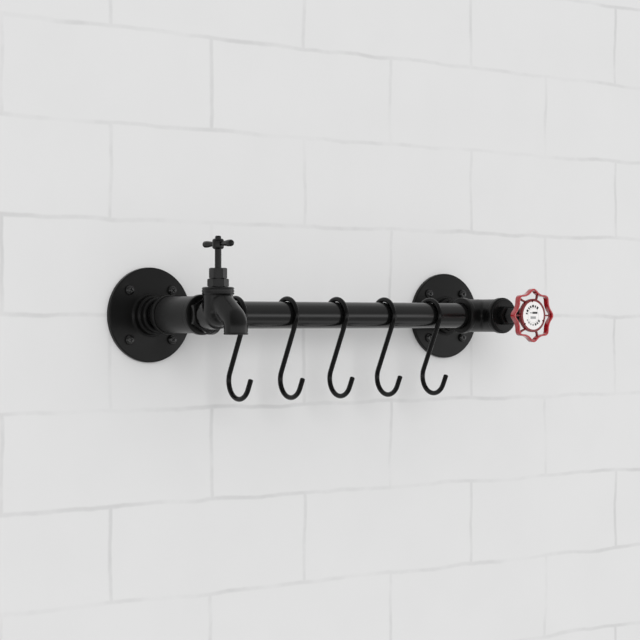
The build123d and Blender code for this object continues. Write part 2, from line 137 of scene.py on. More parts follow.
def rounded(points: Profile, rounds: dict[int, float], steps: int = 6) -> list[tuple[float, float]]:
    """Profile with some of its corners turned into arcs.

    Args:
        points: the corners in order.
        rounds: the radius at each corner that gets an arc, by the corner's number.
        steps: how many straight lines make up an arc.

    Returns:
        The new corners in order.
    """
    result = []
    for number, point in enumerate(points):
        if number not in rounds:
            result.append(point)
            continue
        corner = Vector(point)
        before = (Vector(points[number - 1]) - corner).normalized()
        after = (Vector(points[(number + 1) % len(points)]) - corner).normalized()
        half = before.angle(after) / 2
        centre = corner + (before + after).normalized() * rounds[number] / math.sin(half)
        reach = rounds[number] / math.tan(half)
        first, last = corner + before * reach - centre, corner + after * reach - centre
        turn = math.atan2(first.x * last.y - first.y * last.x, first.dot(last))
        for step in range(steps + 1):
            result.append(tuple(centre + Matrix.Rotation(turn * step / steps, 2) @ first))
    return result


def lathe(profile: Profile, steps: int = ROUND_STEPS) -> BMesh:
    """Closed solid turned about Z.

    Args:
        profile: corners as (radius, height), from the axis to the axis, or a closed ring off the axis.
        steps: how many steps make the full turn.

    Returns:
        The solid.
    """
    form = bmesh.new()
    corners = [form.verts.new((radius, 0, height)) for radius, height in profile]
    pairs = list(zip(corners, corners[1:]))
    if profile[0][0] > 0 or profile[-1][0] > 0:
        pairs.append((corners[-1], corners[0]))
    for pair in pairs:
        form.edges.new(pair)
    bmesh.ops.spin(form, geom=form.verts[:] + form.edges[:], axis=(0, 0, 1), cent=(0, 0, 0),
                   angle=math.tau, steps=steps, use_merge=True)
    return closed(form)


def closed(form: BMesh) -> BMesh:
    """The same form with its doubles merged and its faces pointing outwards."""
    bmesh.ops.remove_doubles(form, verts=form.verts, dist=MERGE_DISTANCE)
    bmesh.ops.recalc_face_normals(form, faces=form.faces)
    return form


def cleaned(form: BMesh) -> BMesh:
    """The same form without the slivers that a boolean leaves."""
    for _ in range(2):
        bmesh.ops.remove_doubles(form, verts=form.verts, dist=SLIVER)
        bmesh.ops.dissolve_degenerate(form, edges=form.edges, dist=SLIVER)
    return form


def soften(form: BMesh, width: float, segments: int = 2, sharper_than: float = 30.0) -> BMesh:
    """Rounds the sharp edges of a form.

    Args:
        form: the form to change.
        width: how far the rounding reaches from each edge.
        segments: how many faces make up the rounding.
        sharper_than: edges that turn less than this, in degrees, stay as they are.

    Returns:
        The same form.
    """
    limit = math.radians(sharper_than)
    sharp = [edge for edge in form.edges if edge.is_manifold and edge.calc_face_angle(0) > limit]
    bmesh.ops.bevel(form, geom=sharp, offset=width, offset_type="OFFSET", segments=segments,
                    profile=0.5, affect="EDGES", clamp_overlap=True, material=-1)
    return form


def moved(form: BMesh, place: Matrix) -> BMesh:
    """The same form after a move or a turn."""
    bmesh.ops.transform(form, matrix=place, verts=form.verts)
    return form


def shift(form: BMesh, made: Iterable[object], by: Sequence[float]) -> None:
    """Moves the vertices among the newly made parts of a form."""
    bmesh.ops.translate(form, vec=by, verts=[item for item in made if isinstance(item, BMVert)])


def smooth(form: BMesh, verts: Iterable[BMVert], rounds: int) -> None:
    """Smooths vertices of a form a number of times."""
    for _ in range(rounds):
        bmesh.ops.smooth_vert(form, verts=verts, factor=0.5, use_axis_x=True, use_axis_y=True,
                              use_axis_z=True)


def gathered(forms: Iterable[BMesh]) -> BMesh:
    """One form that holds several, each of which is used up."""
    whole = bmesh.new()
    for form in forms:
        mesh = bpy.data.meshes.new("gathered")
        form.to_mesh(mesh)
        form.free()
        whole.from_mesh(mesh)
        bpy.data.meshes.remove(mesh)
    return whole


def tube(outer: float, inner: float, low: float, high: float, steps: int = ROUND_STEPS) -> BMesh:
    """Pipe about Z with bevelled ends.

    Args:
        outer: its outer radius.
        inner: its bore's radius.
        low: height of its lower end.
        high: height of its upper end.
        steps: how many steps make the full turn.

    Returns:
        The pipe.
    """
    rim = outer - PIPE_EDGE
    return lathe([(inner, low), (rim, low), (outer, low + PIPE_EDGE), (outer, high - PIPE_EDGE), (rim, high),
                  (inner, high)], steps)


def strip(spots: Sequence[Vector], width: float, low: float, high: float) -> BMesh:
    """Flat bar that follows places in the plane and stands between two heights.

    Args:
        spots: the places along its middle line.
        width: its width across that line.
        low: height of its lower face.
        high: height of its upper face.

    Returns:
        The bar with its edges rounded.
    """
    form = bmesh.new()
    rings = []
    for number, spot in enumerate(spots):
        along = spots[min(number + 1, len(spots) - 1)] - spots[max(number - 1, 0)]
        side = Vector((-along.y, along.x)).normalized() * width / 2
        left, right = spot + side, spot - side
        corners = ((left, low), (right, low), (right, high), (left, high))
        rings.append([form.verts.new((flat.x, flat.y, height)) for flat, height in corners])
    for first, second in zip(rings, rings[1:]):
        for number in range(4):
            after = (number + 1) % 4
            form.faces.new((first[number], first[after], second[after], second[number]))
    for ring in (rings[0], rings[-1]):
        form.faces.new(ring)
    return soften(closed(form), STRIP_EDGE, 2, 50)


def bar(radius: float, low: float, high: float, edge: float = 0.0, steps: int = ROUND_STEPS) -> BMesh:
    """Round bar about Z, with its two rims rounded by an edge width."""
    form = lathe([(0, low), (radius, low), (radius, high), (0, high)], steps)
    return soften(form, edge) if edge else form


def block(size: Sequence[float], low_corner: Sequence[float], edge: float = 0.0) -> BMesh:
    """Box from its lowest corner, with its edges rounded by an edge width.

    Args:
        size: its lengths along X, Y and Z.
        low_corner: its lowest corner.
        edge: width of the rounding, 0 for none.

    Returns:
        The box.
    """
    form = bmesh.new()
    bmesh.ops.create_cube(form, size=1)
    bmesh.ops.translate(form, vec=(0.5, 0.5, 0.5), verts=form.verts)
    bmesh.ops.scale(form, vec=size, verts=form.verts)
    bmesh.ops.translate(form, vec=low_corner, verts=form.verts)
    return soften(form, edge) if edge else form


def hexagon(across_flats: float, low: float, high: float, turn: float = 0.0, edge: float = 0.15) -> BMesh:
    """Hexagonal bar about Z whose corners are bevelled as on a nut.

    Args:
        across_flats: distance between two opposite flats.
        low: height of its lower face.
        high: height of its upper face.
        turn: direction of its first corner, in degrees from X.
        edge: rounding of its edges.

    Returns:
        The solid.
    """
    half = across_flats / 2
    corner = half / math.cos(math.pi / 6)
    bevel = (corner - half) * NUT_BEVEL_SHARE
    rim = half * NUT_RIM_SHARE
    form = bmesh.new()
    bmesh.ops.create_circle(form, cap_ends=True, segments=6, radius=corner)
    raised = bmesh.ops.extrude_face_region(form, geom=form.faces[:])["geom"]
    shift(form, raised, (0, 0, high - low))
    moved(form, Matrix.Translation((0, 0, low)) @ turned_about("Z", turn - 90))
    trim = lathe([(0, low), (rim, low), (corner, low + bevel), (corner, high - bevel), (rim, high),
                  (0, high)])
    return cut(soften(closed(form), edge, 2, 20), trim, Cut.KEEP_COMMON)


def changed(form: BMesh, dress: Callable[[Object], None]) -> BMesh:
    """A form as modifiers leave it.

    Args:
        form: the form, which is used up.
        dress: adds the modifiers to the object that holds the form.

    Returns:
        The new form.
    """
    mesh = bpy.data.meshes.new("before")
    form.to_mesh(mesh)
    form.free()
    holder = bpy.data.objects.new("holder", mesh)
    bpy.context.scene.collection.objects.link(holder)
    dress(holder)
    bpy.context.view_layer.update()
    after = bpy.data.meshes.new_from_object(holder.evaluated_get(bpy.context.evaluated_depsgraph_get()))
    result = bmesh.new()
    result.from_mesh(after)
    bpy.data.objects.remove(holder)
    bpy.data.meshes.remove(mesh)
    bpy.data.meshes.remove(after)
    return result


def cut(form: BMesh, tool: BMesh, how: Cut = Cut.TAKE_AWAY) -> BMesh:
    """A form after another solid has cut it. Both are used up.

    Args:
        form: the form to cut.
        tool: the solid that cuts it.
        how: what the tool does to the form.

    Returns:
        The new form without slivers.
    """
    mesh = bpy.data.meshes.new("tool")
    tool.to_mesh(mesh)
    tool.free()
    other = bpy.data.objects.new("tool", mesh)
    bpy.context.scene.collection.objects.link(other)

    def dress(holder: Object) -> None:
        """Adds the boolean that cuts the holder."""
        modifier = holder.modifiers.new("cut", "BOOLEAN")
        modifier.object = other
        modifier.operation = how.value
        modifier.solver = "EXACT"

    result = cleaned(changed(form, dress))
    bpy.data.objects.remove(other)
    bpy.data.meshes.remove(mesh)
    return result


def cast(form: BMesh, grid: float, rounds: int) -> BMesh:
    """Overlapping solids run into one skin with softly rounded inner corners, as a casting has.

    Args:
        form: the overlapping closed solids, used up.
        grid: size of the skin's faces.
        rounds: how often the skin is smoothed.

    Returns:
        The one skin.
    """
    def dress(holder: Object) -> None:
        """Adds the modifier that makes one skin."""
        modifier = holder.modifiers.new("skin", "REMESH")
        modifier.mode = "VOXEL"
        modifier.voxel_size = grid

    skin = changed(form, dress)
    smooth(skin, skin.verts[:], rounds)
    return skin


def smooth_near(form: BMesh, is_near: Callable[[Vector], bool], rounds: int) -> None:
    """Smooths only the part of a form that a test picks out."""
    smooth(form, [vert for vert in form.verts if is_near(vert.co)], rounds)


@dataclass(frozen=True)
class Run:
    """A straight stretch of a bent bar."""

    length: float


@dataclass(frozen=True)
class Bend:
    """A bend of a bent bar: its radius, and its turn in degrees, where a turn above 0 is to the left."""

    radius: float
    turn: float


def bent_bar(radius: float, start: tuple[float, float], heading: float, moves: Sequence[Run | Bend],
             tip_round: float = 0.0, steps: int = 24, bend_step: float = 6.0) -> BMesh:
    """Round bar bent in the plane X = 0.

    Args:
        radius: radius of the bar.
        start: (y, z) where the bar starts.
        heading: direction in which it starts, in degrees from Y towards Z.
        moves: its stretches and bends in order.
        tip_round: rounding of its two ends.
        steps: how many faces go round it.
        bend_step: degrees of a bend for each ring of faces.

    Returns:
        The closed bar.
    """
    form = bmesh.new()
    bmesh.ops.create_circle(form, cap_ends=False, segments=steps, radius=radius)
    ring = form.edges[:]
    place = Vector((0, *start))
    moved(form, Matrix.Translation(place) @ turned_about("X", heading) @ turned_about("X", -90))
    ends = [ring]
    for move in moves:
        along = Vector((0, math.cos(math.radians(heading)), math.sin(math.radians(heading))))
        if isinstance(move, Run):
            made = bmesh.ops.extrude_edge_only(form, edges=ring)["geom"]
            shift(form, made, along * move.length)
            place = place + along * move.length
        else:
            left = Vector((0, -along.z, along.y))
            centre = place + left * math.copysign(move.radius, move.turn)
            count = max(2, round(abs(move.turn) / bend_step))
            geom = ring + list({vert for edge in ring for vert in edge.verts})
            turn = math.radians(move.turn)
            made = bmesh.ops.spin(form, geom=geom, cent=centre, axis=(1, 0, 0), angle=turn,
                                  steps=count)["geom_last"]
            place = centre + Matrix.Rotation(turn, 3, "X") @ (place - centre)
            heading += move.turn
        ring = [item for item in made if isinstance(item, BMEdge) and item.is_boundary]
    ends.append(ring)
    caps = []
    for end in ends:
        caps += bmesh.ops.edgeloop_fill(form, edges=end)["faces"]
    closed(form)
    if tip_round:
        rims = [edge for cap in caps for edge in cap.edges]
        bmesh.ops.bevel(form, geom=rims, offset=tip_round, offset_type="OFFSET", segments=4, profile=0.5,
                        affect="EDGES", clamp_overlap=True, material=-1)
    return form


def screw_thread(radius: float, depth: float, pitch: float, low: float, turns: float,
                 steps: int = 24) -> BMesh:
    """Ridge of a screw thread about Z, to be sunk in the bar that carries it.

    Args:
        radius: radius of the bar under the thread.
        depth: height of the ridge above the bar.
        pitch: rise of one turn.
        low: height at which the thread starts.
        turns: how many turns it makes.
        steps: how many steps make one turn.

    Returns:
        The closed ridge.
    """
    form = bmesh.new()
    root, crest = radius - depth, radius + depth
    foot, tip = THREAD_FOOT_SHARE * pitch, THREAD_TIP_SHARE * pitch
    corners = [(root, -foot), (crest, -tip), (crest, tip), (root, foot)]
    verts = [form.verts.new((reach, 0, low + height)) for reach, height in corners]
    form.faces.new(verts)
    count = round(steps * turns)
    bmesh.ops.spin(form, geom=form.faces[:] + form.edges[:] + form.verts[:], axis=(0, 0, 1), cent=(0, 0, 0),
                   dvec=(0, 0, pitch * turns / count), angle=math.tau * turns, steps=count)
    return closed(form)


# Finishes

def feed(tree: ShaderNodeTree, socket: NodeSocket, value: object) -> None:
    """Links a socket to an input, or sets the input to a plain value."""
    if isinstance(value, NodeSocket):
        tree.links.new(value, socket)
    else:
        socket.default_value = value


def wired(tree: ShaderNodeTree, kind: str, **values: object) -> Node:
    """Adds a shader node and sets its inputs.

    Args:
        tree: the tree that gets the node.
        kind: the node's type name.
        values: input names with spaces as underscores, each with a value or a socket to link.

    Returns:
        The node.
    """
    node = tree.nodes.new(kind)
    for name, value in values.items():
        feed(tree, node.inputs[name.replace("_", " ")], value)
    return node


def worked_out(tree: ShaderNodeTree, how: str, first: object, second: object) -> NodeSocket:
    """Result of a sum on two inputs, kept between 0 and 1 when one is taken from the other.

    Args:
        tree: the tree that gets the node.
        how: name of the sum.
        first: a value or a socket.
        second: a value or a socket.

    Returns:
        The socket that gives the result.
    """
    node = tree.nodes.new("ShaderNodeMath")
    node.operation = how
    node.use_clamp = how == "SUBTRACT"
    feed(tree, node.inputs[0], first)
    feed(tree, node.inputs[1], second)
    return node.outputs[0]


def ramp(tree: ShaderNodeTree, value: NodeSocket, over: tuple[float, float],
         results: tuple[float, float]) -> NodeSocket:
    """Smooth step from one result to another while a value crosses a range.

    Args:
        tree: the tree that gets the node.
        value: the value that crosses the range.
        over: the range.
        results: the results at the range's two ends.

    Returns:
        The socket that gives the result.
    """
    node = wired(tree, "ShaderNodeMapRange", Value=value, From_Min=over[0], From_Max=over[1],
                 To_Min=results[0], To_Max=results[1])
    node.interpolation_type = "SMOOTHSTEP"
    return node.outputs["Result"]


def strip_mask(tree: ShaderNodeTree, value: NodeSocket, middle: float, reach: float,
               peak: float) -> NodeSocket:
    """Smooth hump that rises to a peak at a middle value and is 0 beyond its reach.

    Args:
        tree: the tree that gets the nodes.
        value: the value that crosses the hump.
        middle: the value at the peak.
        reach: how far the hump reaches to each side.
        peak: its greatest height.

    Returns:
        The socket that gives the height.
    """
    rise = ramp(tree, value, (middle - reach, middle), (0, peak))
    fall = ramp(tree, value, (middle, middle + reach), (1, 0))
    return worked_out(tree, "MULTIPLY", rise, fall)


def mixed(tree: ShaderNodeTree, share: object, first: object, second: object,
          kind: str = "FLOAT") -> NodeSocket:
    """Blend of two numbers or two colours, by the share of the second.

    Args:
        tree: the tree that gets the node.
        share: the share, as a value or a socket.
        first: what share 0 gives.
        second: what share 1 gives.
        kind: FLOAT for numbers and RGBA for colours.

    Returns:
        The socket that gives the blend.
    """
    node = tree.nodes.new("ShaderNodeMix")
    node.data_type = kind
    for name, value in (("Factor", share), ("A", first), ("B", second)):
        feed(tree, node.inputs[name], value)
    return node.outputs["Result"]


def noise(tree: ShaderNodeTree, where: NodeSocket, scale: object, detail: float,
          roughness: float = 0.5) -> NodeSocket:
    """Cloudy noise over a surface.

    Args:
        tree: the tree that gets the node.
        where: the place on the surface.
        scale: how many clouds go in a metre.
        detail: how many finer layers lie over the clouds.
        roughness: how strong the finer layers are.

    Returns:
        The socket that gives the noise.
    """
    node = wired(tree, "ShaderNodeTexNoise", Vector=where, Scale=scale, Detail=detail, Roughness=roughness)
    return node.outputs["Fac"]


def grain_group() -> ShaderNodeTree:
    """Node group that gives the height and the mottling of a cast or sprayed surface.

    Returns:
        The group, with Size in millimetres and Coarse as the share of the larger lumps.
    """
    name = "surface_grain"
    if name in bpy.data.node_groups:
        return bpy.data.node_groups[name]
    group = bpy.data.node_groups.new(name, "ShaderNodeTree")
    for label, way in (("Size", "INPUT"), ("Coarse", "INPUT"), ("Height", "OUTPUT"), ("Mottle", "OUTPUT")):
        group.interface.new_socket(label, in_out=way, socket_type="NodeSocketFloat")
    inside = group.nodes.new("NodeGroupInput").outputs
    outside = group.nodes.new("NodeGroupOutput").inputs
    where = group.nodes.new("ShaderNodeTexCoord").outputs["Object"]
    per_metre = worked_out(group, "DIVIDE", 1 / MM, inside["Size"])
    fine = noise(group, where, per_metre, 3.0, 0.55)
    lumps = noise(group, where, worked_out(group, "MULTIPLY", per_metre, LUMP_SHARE), 2.0)
    feed(group, outside["Height"], mixed(group, inside["Coarse"], fine, lumps))
    feed(group, outside["Mottle"], noise(group, where, MOTTLE_PER_MM / MM, 4.0, 0.6))
    return group


@dataclass(frozen=True)
class Finish:
    """A painted, plated or moulded finish: its colour, gloss, grain and how much both vary."""

    name: str
    colour: Colour
    tint: Colour
    roughness: float
    roughness_spread: float
    grain_mm: float
    grain_depth_mm: float
    coarse: float
    metallic: float = 0.0
    coat: float = 0.0
    specular: float = 0.5

    def material(self) -> Material:
        """Builds the material once and returns it."""
        if self.name in bpy.data.materials:
            return bpy.data.materials[self.name]
        made = bpy.data.materials.new(self.name)
        made.use_nodes = True
        tree = made.node_tree
        shader = tree.nodes["Principled BSDF"]
        grain = tree.nodes.new("ShaderNodeGroup")
        grain.node_tree = grain_group()
        feed(tree, grain.inputs["Size"], self.grain_mm)
        feed(tree, grain.inputs["Coarse"], self.coarse)
        mottle = grain.outputs["Mottle"]
        gloss = wired(tree, "ShaderNodeMapRange", Value=mottle, From_Min=MOTTLE_RANGE[0],
                      From_Max=MOTTLE_RANGE[1], To_Min=self.roughness - self.roughness_spread,
                      To_Max=self.roughness + self.roughness_spread)
        bump = wired(tree, "ShaderNodeBump", Height=grain.outputs["Height"],
                     Distance=self.grain_depth_mm * MM, Strength=1.0)
        inputs = {"Base Color": mixed(tree, mottle, (*self.colour, 1), (*self.tint, 1), "RGBA"),
                  "Roughness": gloss.outputs["Result"], "Normal": bump.outputs["Normal"],
                  "Metallic": self.metallic, "Coat Weight": self.coat, "Coat Roughness": COAT_ROUGHNESS,
                  "Specular IOR Level": self.specular}
        for name, value in inputs.items():
            feed(tree, shader.inputs[name], value)
        return made


CAST_BLACK = Finish("cast_black_paint", (0.002, 0.002, 0.002), (0.005, 0.005, 0.0048), 0.33, 0.05,
                    0.55, 0.035, 0.45, specular=0.22)
PIPE_BLACK = Finish("pipe_black_paint", (0.003, 0.003, 0.003), (0.006, 0.006, 0.006), 0.18, 0.03, 0.35,
                    0.005, 0.4, specular=0.45)
TAP_BLACK = Finish("tap_black_coat", (0.002, 0.002, 0.002), (0.005, 0.005, 0.0048), 0.22, 0.05, 0.3,
                   0.010, 0.35, specular=0.3)
SPINDLE_BLACK = Finish("spindle_black_coat", (0.003, 0.003, 0.003), (0.006, 0.006, 0.0058), 0.26, 0.05,
                       0.3, 0.010, 0.35, specular=0.2)
HOOK_BLACK = Finish("hook_black_coat", (0.0015, 0.0015, 0.0015), (0.004, 0.004, 0.004), 0.20, 0.03,
                    0.3, 0.005, 0.3, specular=0.22)
SCREW_BLACK = Finish("screw_black_coat", (0.004, 0.004, 0.004), (0.008, 0.008, 0.008), 0.24, 0.05,
                     0.25, 0.006, 0.3)
RED_ENAMEL = Finish("wheel_red_enamel", (0.32, 0.003, 0.008), (0.40, 0.006, 0.013), 0.18, 0.04, 0.6,
                    0.02, 0.5, coat=1.0)
# Darker copy of the red enamel for the wheel's dish and spokes: painted shade, as they are the same paint as
# the rim.
SHADED_RED_ENAMEL = Finish("wheel_red_painted_shade", (0.13, 0.002, 0.004), (0.19, 0.003, 0.006), 0.22, 0.05, 0.6,
                     0.02, 0.5, coat=0.3, specular=0.3)
WHITE_ENAMEL = Finish("plate_white_enamel", (0.82, 0.80, 0.79), (0.88, 0.86, 0.85), 0.35, 0.04, 0.7,
                      0.006, 0.6, coat=0.3)
MARK_BLACK = Finish("plate_black_marks", (0.012, 0.012, 0.012), (0.03, 0.03, 0.03), 0.5, 0.05, 0.4,
                    0.004, 0.4)
MARK_GREY = Finish("plate_grey_marks", (0.28, 0.28, 0.28), (0.4, 0.4, 0.4), 0.5, 0.05, 0.4, 0.004, 0.4)
RUBBER = Finish("washer_rubber", (0.02, 0.02, 0.02), (0.035, 0.035, 0.035), 0.7, 0.06, 0.4, 0.02, 0.4)
BRAID = Finish("packing_braid", (0.42, 0.38, 0.29), (0.55, 0.5, 0.4), 0.8, 0.05, 0.6, 0.08, 0.3)
BRASS = Finish("turned_brass", (0.62, 0.42, 0.16), (0.72, 0.52, 0.24), 0.3, 0.06, 0.5, 0.008, 0.4,
               metallic=1.0)
ZINC = Finish("zinc_plate", (0.5, 0.5, 0.52), (0.62, 0.62, 0.64), 0.32, 0.06, 0.5, 0.008, 0.4,
              metallic=1.0)

SLOT_FINISHES = {
    "cast_black": CAST_BLACK, "pipe_black": PIPE_BLACK, "tap_black": TAP_BLACK,
    "spindle_black": SPINDLE_BLACK, "screw_black": SCREW_BLACK, "hook_black": HOOK_BLACK,
    "wheel_red": RED_ENAMEL, "plate_white": WHITE_ENAMEL, "rubber": RUBBER, "packing": BRAID,
    "brass": BRASS, "zinc": ZINC}


def dress_frame_nodes() -> None:
    """Gives every node of the frame the finish of its slot."""
    slots = {row["node"]: row["material_slot"] for row in frame["record"]["subparts"]}
    for node, piece in frame["nodes"].items():
        material = SLOT_FINISHES[slots[node]].material()
        for place in piece.material_slots:
            place.material = material


@dataclass(frozen=True)
class Sun:
    """A distant lamp: where it shines from, how broad it is in degrees, and its strength."""

    name: str
    place: tuple[float, float, float]
    spread: float
    strength: float

    def build(self) -> Object:
        """Makes the lamp, which gloss doesn't show."""
        data = bpy.data.lights.new(self.name, "SUN")
        data.angle = math.radians(self.spread)
        data.energy = self.strength
        lamp = bpy.data.objects.new(self.name, data)
        lamp.location = self.place
        lamp.rotation_euler = (-lamp.location).to_track_quat("-Z", "Y").to_euler()
        lamp.visible_glossy = False
        bpy.context.scene.collection.objects.link(lamp)
        return lamp


@dataclass(frozen=True)
class Studio:
    """Wall, lamp, surroundings and the camera that stands where the photograph was taken from."""

    lens_mm: float = 98.98
    sensor_mm: float = 36.0
    camera_mm: tuple[float, float, float] = (-938.0, -1273.8, -4.95)
    camera_tilt: float = 90.03
    camera_roll: float = -0.02
    camera_turn: float = -36.87
    wall_colour: Colour = (0.735, 0.735, 0.735)
    joint_colour: Colour = (0.62, 0.62, 0.62)
    joint_half: float = 0.0028
    joint_smooth: float = 0.8
    joint_waver: float = 0.005
    waver_scale: float = 14.0
    patch_scale: float = 9.0
    patch_range: tuple[float, float] = (0.35, 0.7)
    faintest_joint: float = 0.08
    stain_range: tuple[float, float] = (0.3, 0.8)
    stain_share: float = 0.12
    brick_length: float = 0.2
    brick_height: float = 0.08
    wall_gap_mm: float = 0.4
    wall_roughness: float = 0.9
    wall_specular: float = 0.1
    clip_range: tuple[float, float] = (0.05, 50)
    reach_m: float = 3.0
    left_light: float = 0.18
    right_light: float = 0.42
    top_light: float = 0.16
    wall_light: float = 0.72
    low_light: float = 0.43
    high_light: float = 0.85
    strip_light: float = 1.45
    low_strip_light: float = 0.45
    sky_tone: float = 0.73
    side_range: tuple[float, float] = (-0.7, 0.6)
    top_range: tuple[float, float] = (0.2, 0.9)
    wall_edge: tuple[float, float] = (-0.15, 0.15)
    soft_range: tuple[float, float] = (-0.7, 0.7)
    strip_place: tuple[float, float] = (-0.06, 0.25)
    low_strip_place: tuple[float, float] = (-0.68, 0.14)
    suns: tuple[Sun, ...] = (
        Sun("key_sun", (-0.4, -1.0, 0.21), 26.0, 1.05), Sun("fill_sun", (-0.2, -1.0, 0.25), 150.0, 0.3))

    def camera(self) -> Object:
        """Makes the scene's camera."""
        data = bpy.data.cameras.new("camera")
        data.lens = self.lens_mm
        data.sensor_width = self.sensor_mm
        data.clip_start, data.clip_end = self.clip_range
        camera = bpy.data.objects.new("camera", data)
        camera.location = Vector(self.camera_mm) * MM
        turns = (self.camera_tilt, self.camera_roll, self.camera_turn)
        camera.rotation_euler = [math.radians(turn) for turn in turns]
        bpy.context.scene.collection.objects.link(camera)
        bpy.context.scene.camera = camera
        return camera

    def stage_material(self, name: str, colour: Colour) -> Material:
        """Pale matt material that camera, gloss and glass see from its front and other light passes.

        Args:
            name: the material's name.
            colour: its colour between the joints.

        Returns:
            The material.
        """
        made = bpy.data.materials.new(name)
        made.use_nodes = True
        tree = made.node_tree
        shader = tree.nodes["Principled BSDF"]
        feed(tree, shader.inputs["Roughness"], self.wall_roughness)
        feed(tree, shader.inputs["Specular IOR Level"], self.wall_specular)
        tone = mixed(tree, self.brick_joints(tree), (*colour, 1), (*self.joint_colour, 1), "RGBA")
        feed(tree, shader.inputs["Base Color"], tone)
        clear = tree.nodes.new("ShaderNodeBsdfTransparent")
        ray = tree.nodes.new("ShaderNodeLightPath").outputs
        behind = tree.nodes.new("ShaderNodeNewGeometry").outputs["Backfacing"]
        seen = worked_out(tree, "ADD", ray["Is Camera Ray"], ray["Is Glossy Ray"])
        seen = worked_out(tree, "ADD", seen, ray["Is Transmission Ray"])
        either = tree.nodes.new("ShaderNodeMixShader")
        tree.links.new(worked_out(tree, "SUBTRACT", seen, behind), either.inputs["Fac"])
        tree.links.new(clear.outputs["BSDF"], either.inputs[1])
        tree.links.new(shader.outputs["BSDF"], either.inputs[2])
        tree.links.new(either.outputs["Shader"], tree.nodes["Material Output"].inputs["Surface"])
        return made

    def brick_joints(self, tree: ShaderNodeTree) -> NodeSocket:
        """Mask of the faint joints between painted bricks, uneven and broken in places."""
        where = tree.nodes.new("ShaderNodeTexCoord").outputs["Object"]
        waver = noise(tree, where, self.waver_scale, 4.0)
        wander = wired(tree, "ShaderNodeMapRange", Value=waver, To_Min=-self.joint_waver,
                       To_Max=self.joint_waver).outputs["Result"]
        axes = wired(tree, "ShaderNodeSeparateXYZ", Vector=where).outputs
        across = worked_out(tree, "ADD", axes["X"], wander)
        upright = worked_out(tree, "ADD", axes["Z"], wander)
        flat = wired(tree, "ShaderNodeCombineXYZ", X=across, Y=upright).outputs["Vector"]
        bricks = wired(tree, "ShaderNodeTexBrick", Vector=flat, Scale=1.0, Mortar_Size=self.joint_half,
                       Mortar_Smooth=self.joint_smooth, Brick_Width=self.brick_length,
                       Row_Height=self.brick_height).outputs["Fac"]
        patches = noise(tree, where, self.patch_scale, 5.0, 0.65)
        strong = ramp(tree, patches, self.patch_range, (self.faintest_joint, 1))
        stains = ramp(tree, waver, self.stain_range, (0, self.stain_share))
        return worked_out(tree, "ADD", worked_out(tree, "MULTIPLY", bricks, strong), stains)

    def sheet(self, name: str, place: Matrix, colour: Colour) -> Object:
        """Large flat sheet of the stage, facing its own Z.

        Args:
            name: the sheet's name.
            place: where its middle lies and how it is turned.
            colour: its colour.

        Returns:
            The sheet.
        """
        form = bmesh.new()
        bmesh.ops.create_grid(form, x_segments=2, y_segments=2, size=self.reach_m)
        moved(form, place)
        mesh = bpy.data.meshes.new(name)
        form.to_mesh(mesh)
        form.free()
        mesh.materials.append(self.stage_material(name, colour))
        sheet = bpy.data.objects.new(name, mesh)
        bpy.context.scene.collection.objects.link(sheet)
        return sheet

    def light_world(self, tree: ShaderNodeTree) -> None:
        """Makes soft light that grows upwards and, for gloss, a room with two bright strips."""
        where = tree.nodes.new("ShaderNodeTexCoord").outputs["Generated"]
        axes = wired(tree, "ShaderNodeSeparateXYZ", Vector=where).outputs
        sides = ramp(tree, axes["X"], self.side_range, (self.left_light, self.right_light))
        above = ramp(tree, axes["Z"], self.top_range, (0, self.top_light))
        room = worked_out(tree, "ADD", sides, above)
        strips = worked_out(tree, "ADD", strip_mask(tree, axes["Z"], *self.strip_place, self.strip_light),
                            strip_mask(tree, axes["Z"], *self.low_strip_place, self.low_strip_light))
        wall_side = ramp(tree, axes["Y"], self.wall_edge, (0, 1))
        mirrored = mixed(tree, wall_side, worked_out(tree, "ADD", room, strips), self.wall_light)
        ray = tree.nodes.new("ShaderNodeLightPath").outputs
        soft = ramp(tree, axes["Z"], self.soft_range, (self.low_light, self.high_light))
        lighting = worked_out(tree, "ADD", worked_out(tree, "MULTIPLY", mirrored, ray["Is Glossy Ray"]),
                              worked_out(tree, "MULTIPLY", soft, ray["Is Diffuse Ray"]))
        background = tree.nodes["Background"].inputs
        feed(tree, background["Strength"], mixed(tree, ray["Is Camera Ray"], lighting, self.sky_tone))
        feed(tree, background["Color"], (1, 1, 1, 1))

    def build(self) -> None:
        """Makes the whole studio."""
        scene = bpy.context.scene
        scene.view_settings.view_transform = "Standard"
        world = bpy.data.worlds.new("studio")
        world.use_nodes = True
        self.light_world(world.node_tree)
        scene.world = world
        self.camera()
        wall_place = Matrix.Translation((0, self.wall_gap_mm * MM, 0)) @ turned_about("X", 90)
        self.sheet("wall", wall_place, self.wall_colour)
        for sun in self.suns:
            sun.build()
        LOG.info("studio built")


# Pieces of the hook rail

def finished(form: BMesh, name: str, body: str, slot: str, *stands_for: str,
             finish: Finish | None = None) -> Object:
    """Makes a finished form an object of the scene, in its place in the frame.

    Args:
        form: the form in millimetres, in place, used up.
        name: name of the piece.
        body: the body that it rides on.
        slot: the record's material slot.
        stands_for: the nodes that it replaces.
        finish: its finish, where it isn't the slot's own.

    Returns:
        The object.
    """
    bmesh.ops.scale(form, vec=(MM, MM, MM), verts=form.verts)
    mesh = bpy.data.meshes.new(name)
    form.to_mesh(mesh)
    form.free()
    mesh.shade_smooth()
    mesh.set_sharp_from_angle(angle=SMOOTH_ANGLE)
    mesh.materials.append((finish or SLOT_FINISHES[slot]).material())
    piece = bpy.data.objects.new(name, mesh)
    bpy.context.scene.collection.objects.link(piece)
    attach(piece, body)
    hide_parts(*stands_for)
    LOG.info("%s: %d faces, rides on %s", name, len(mesh.polygons), body)
    return piece


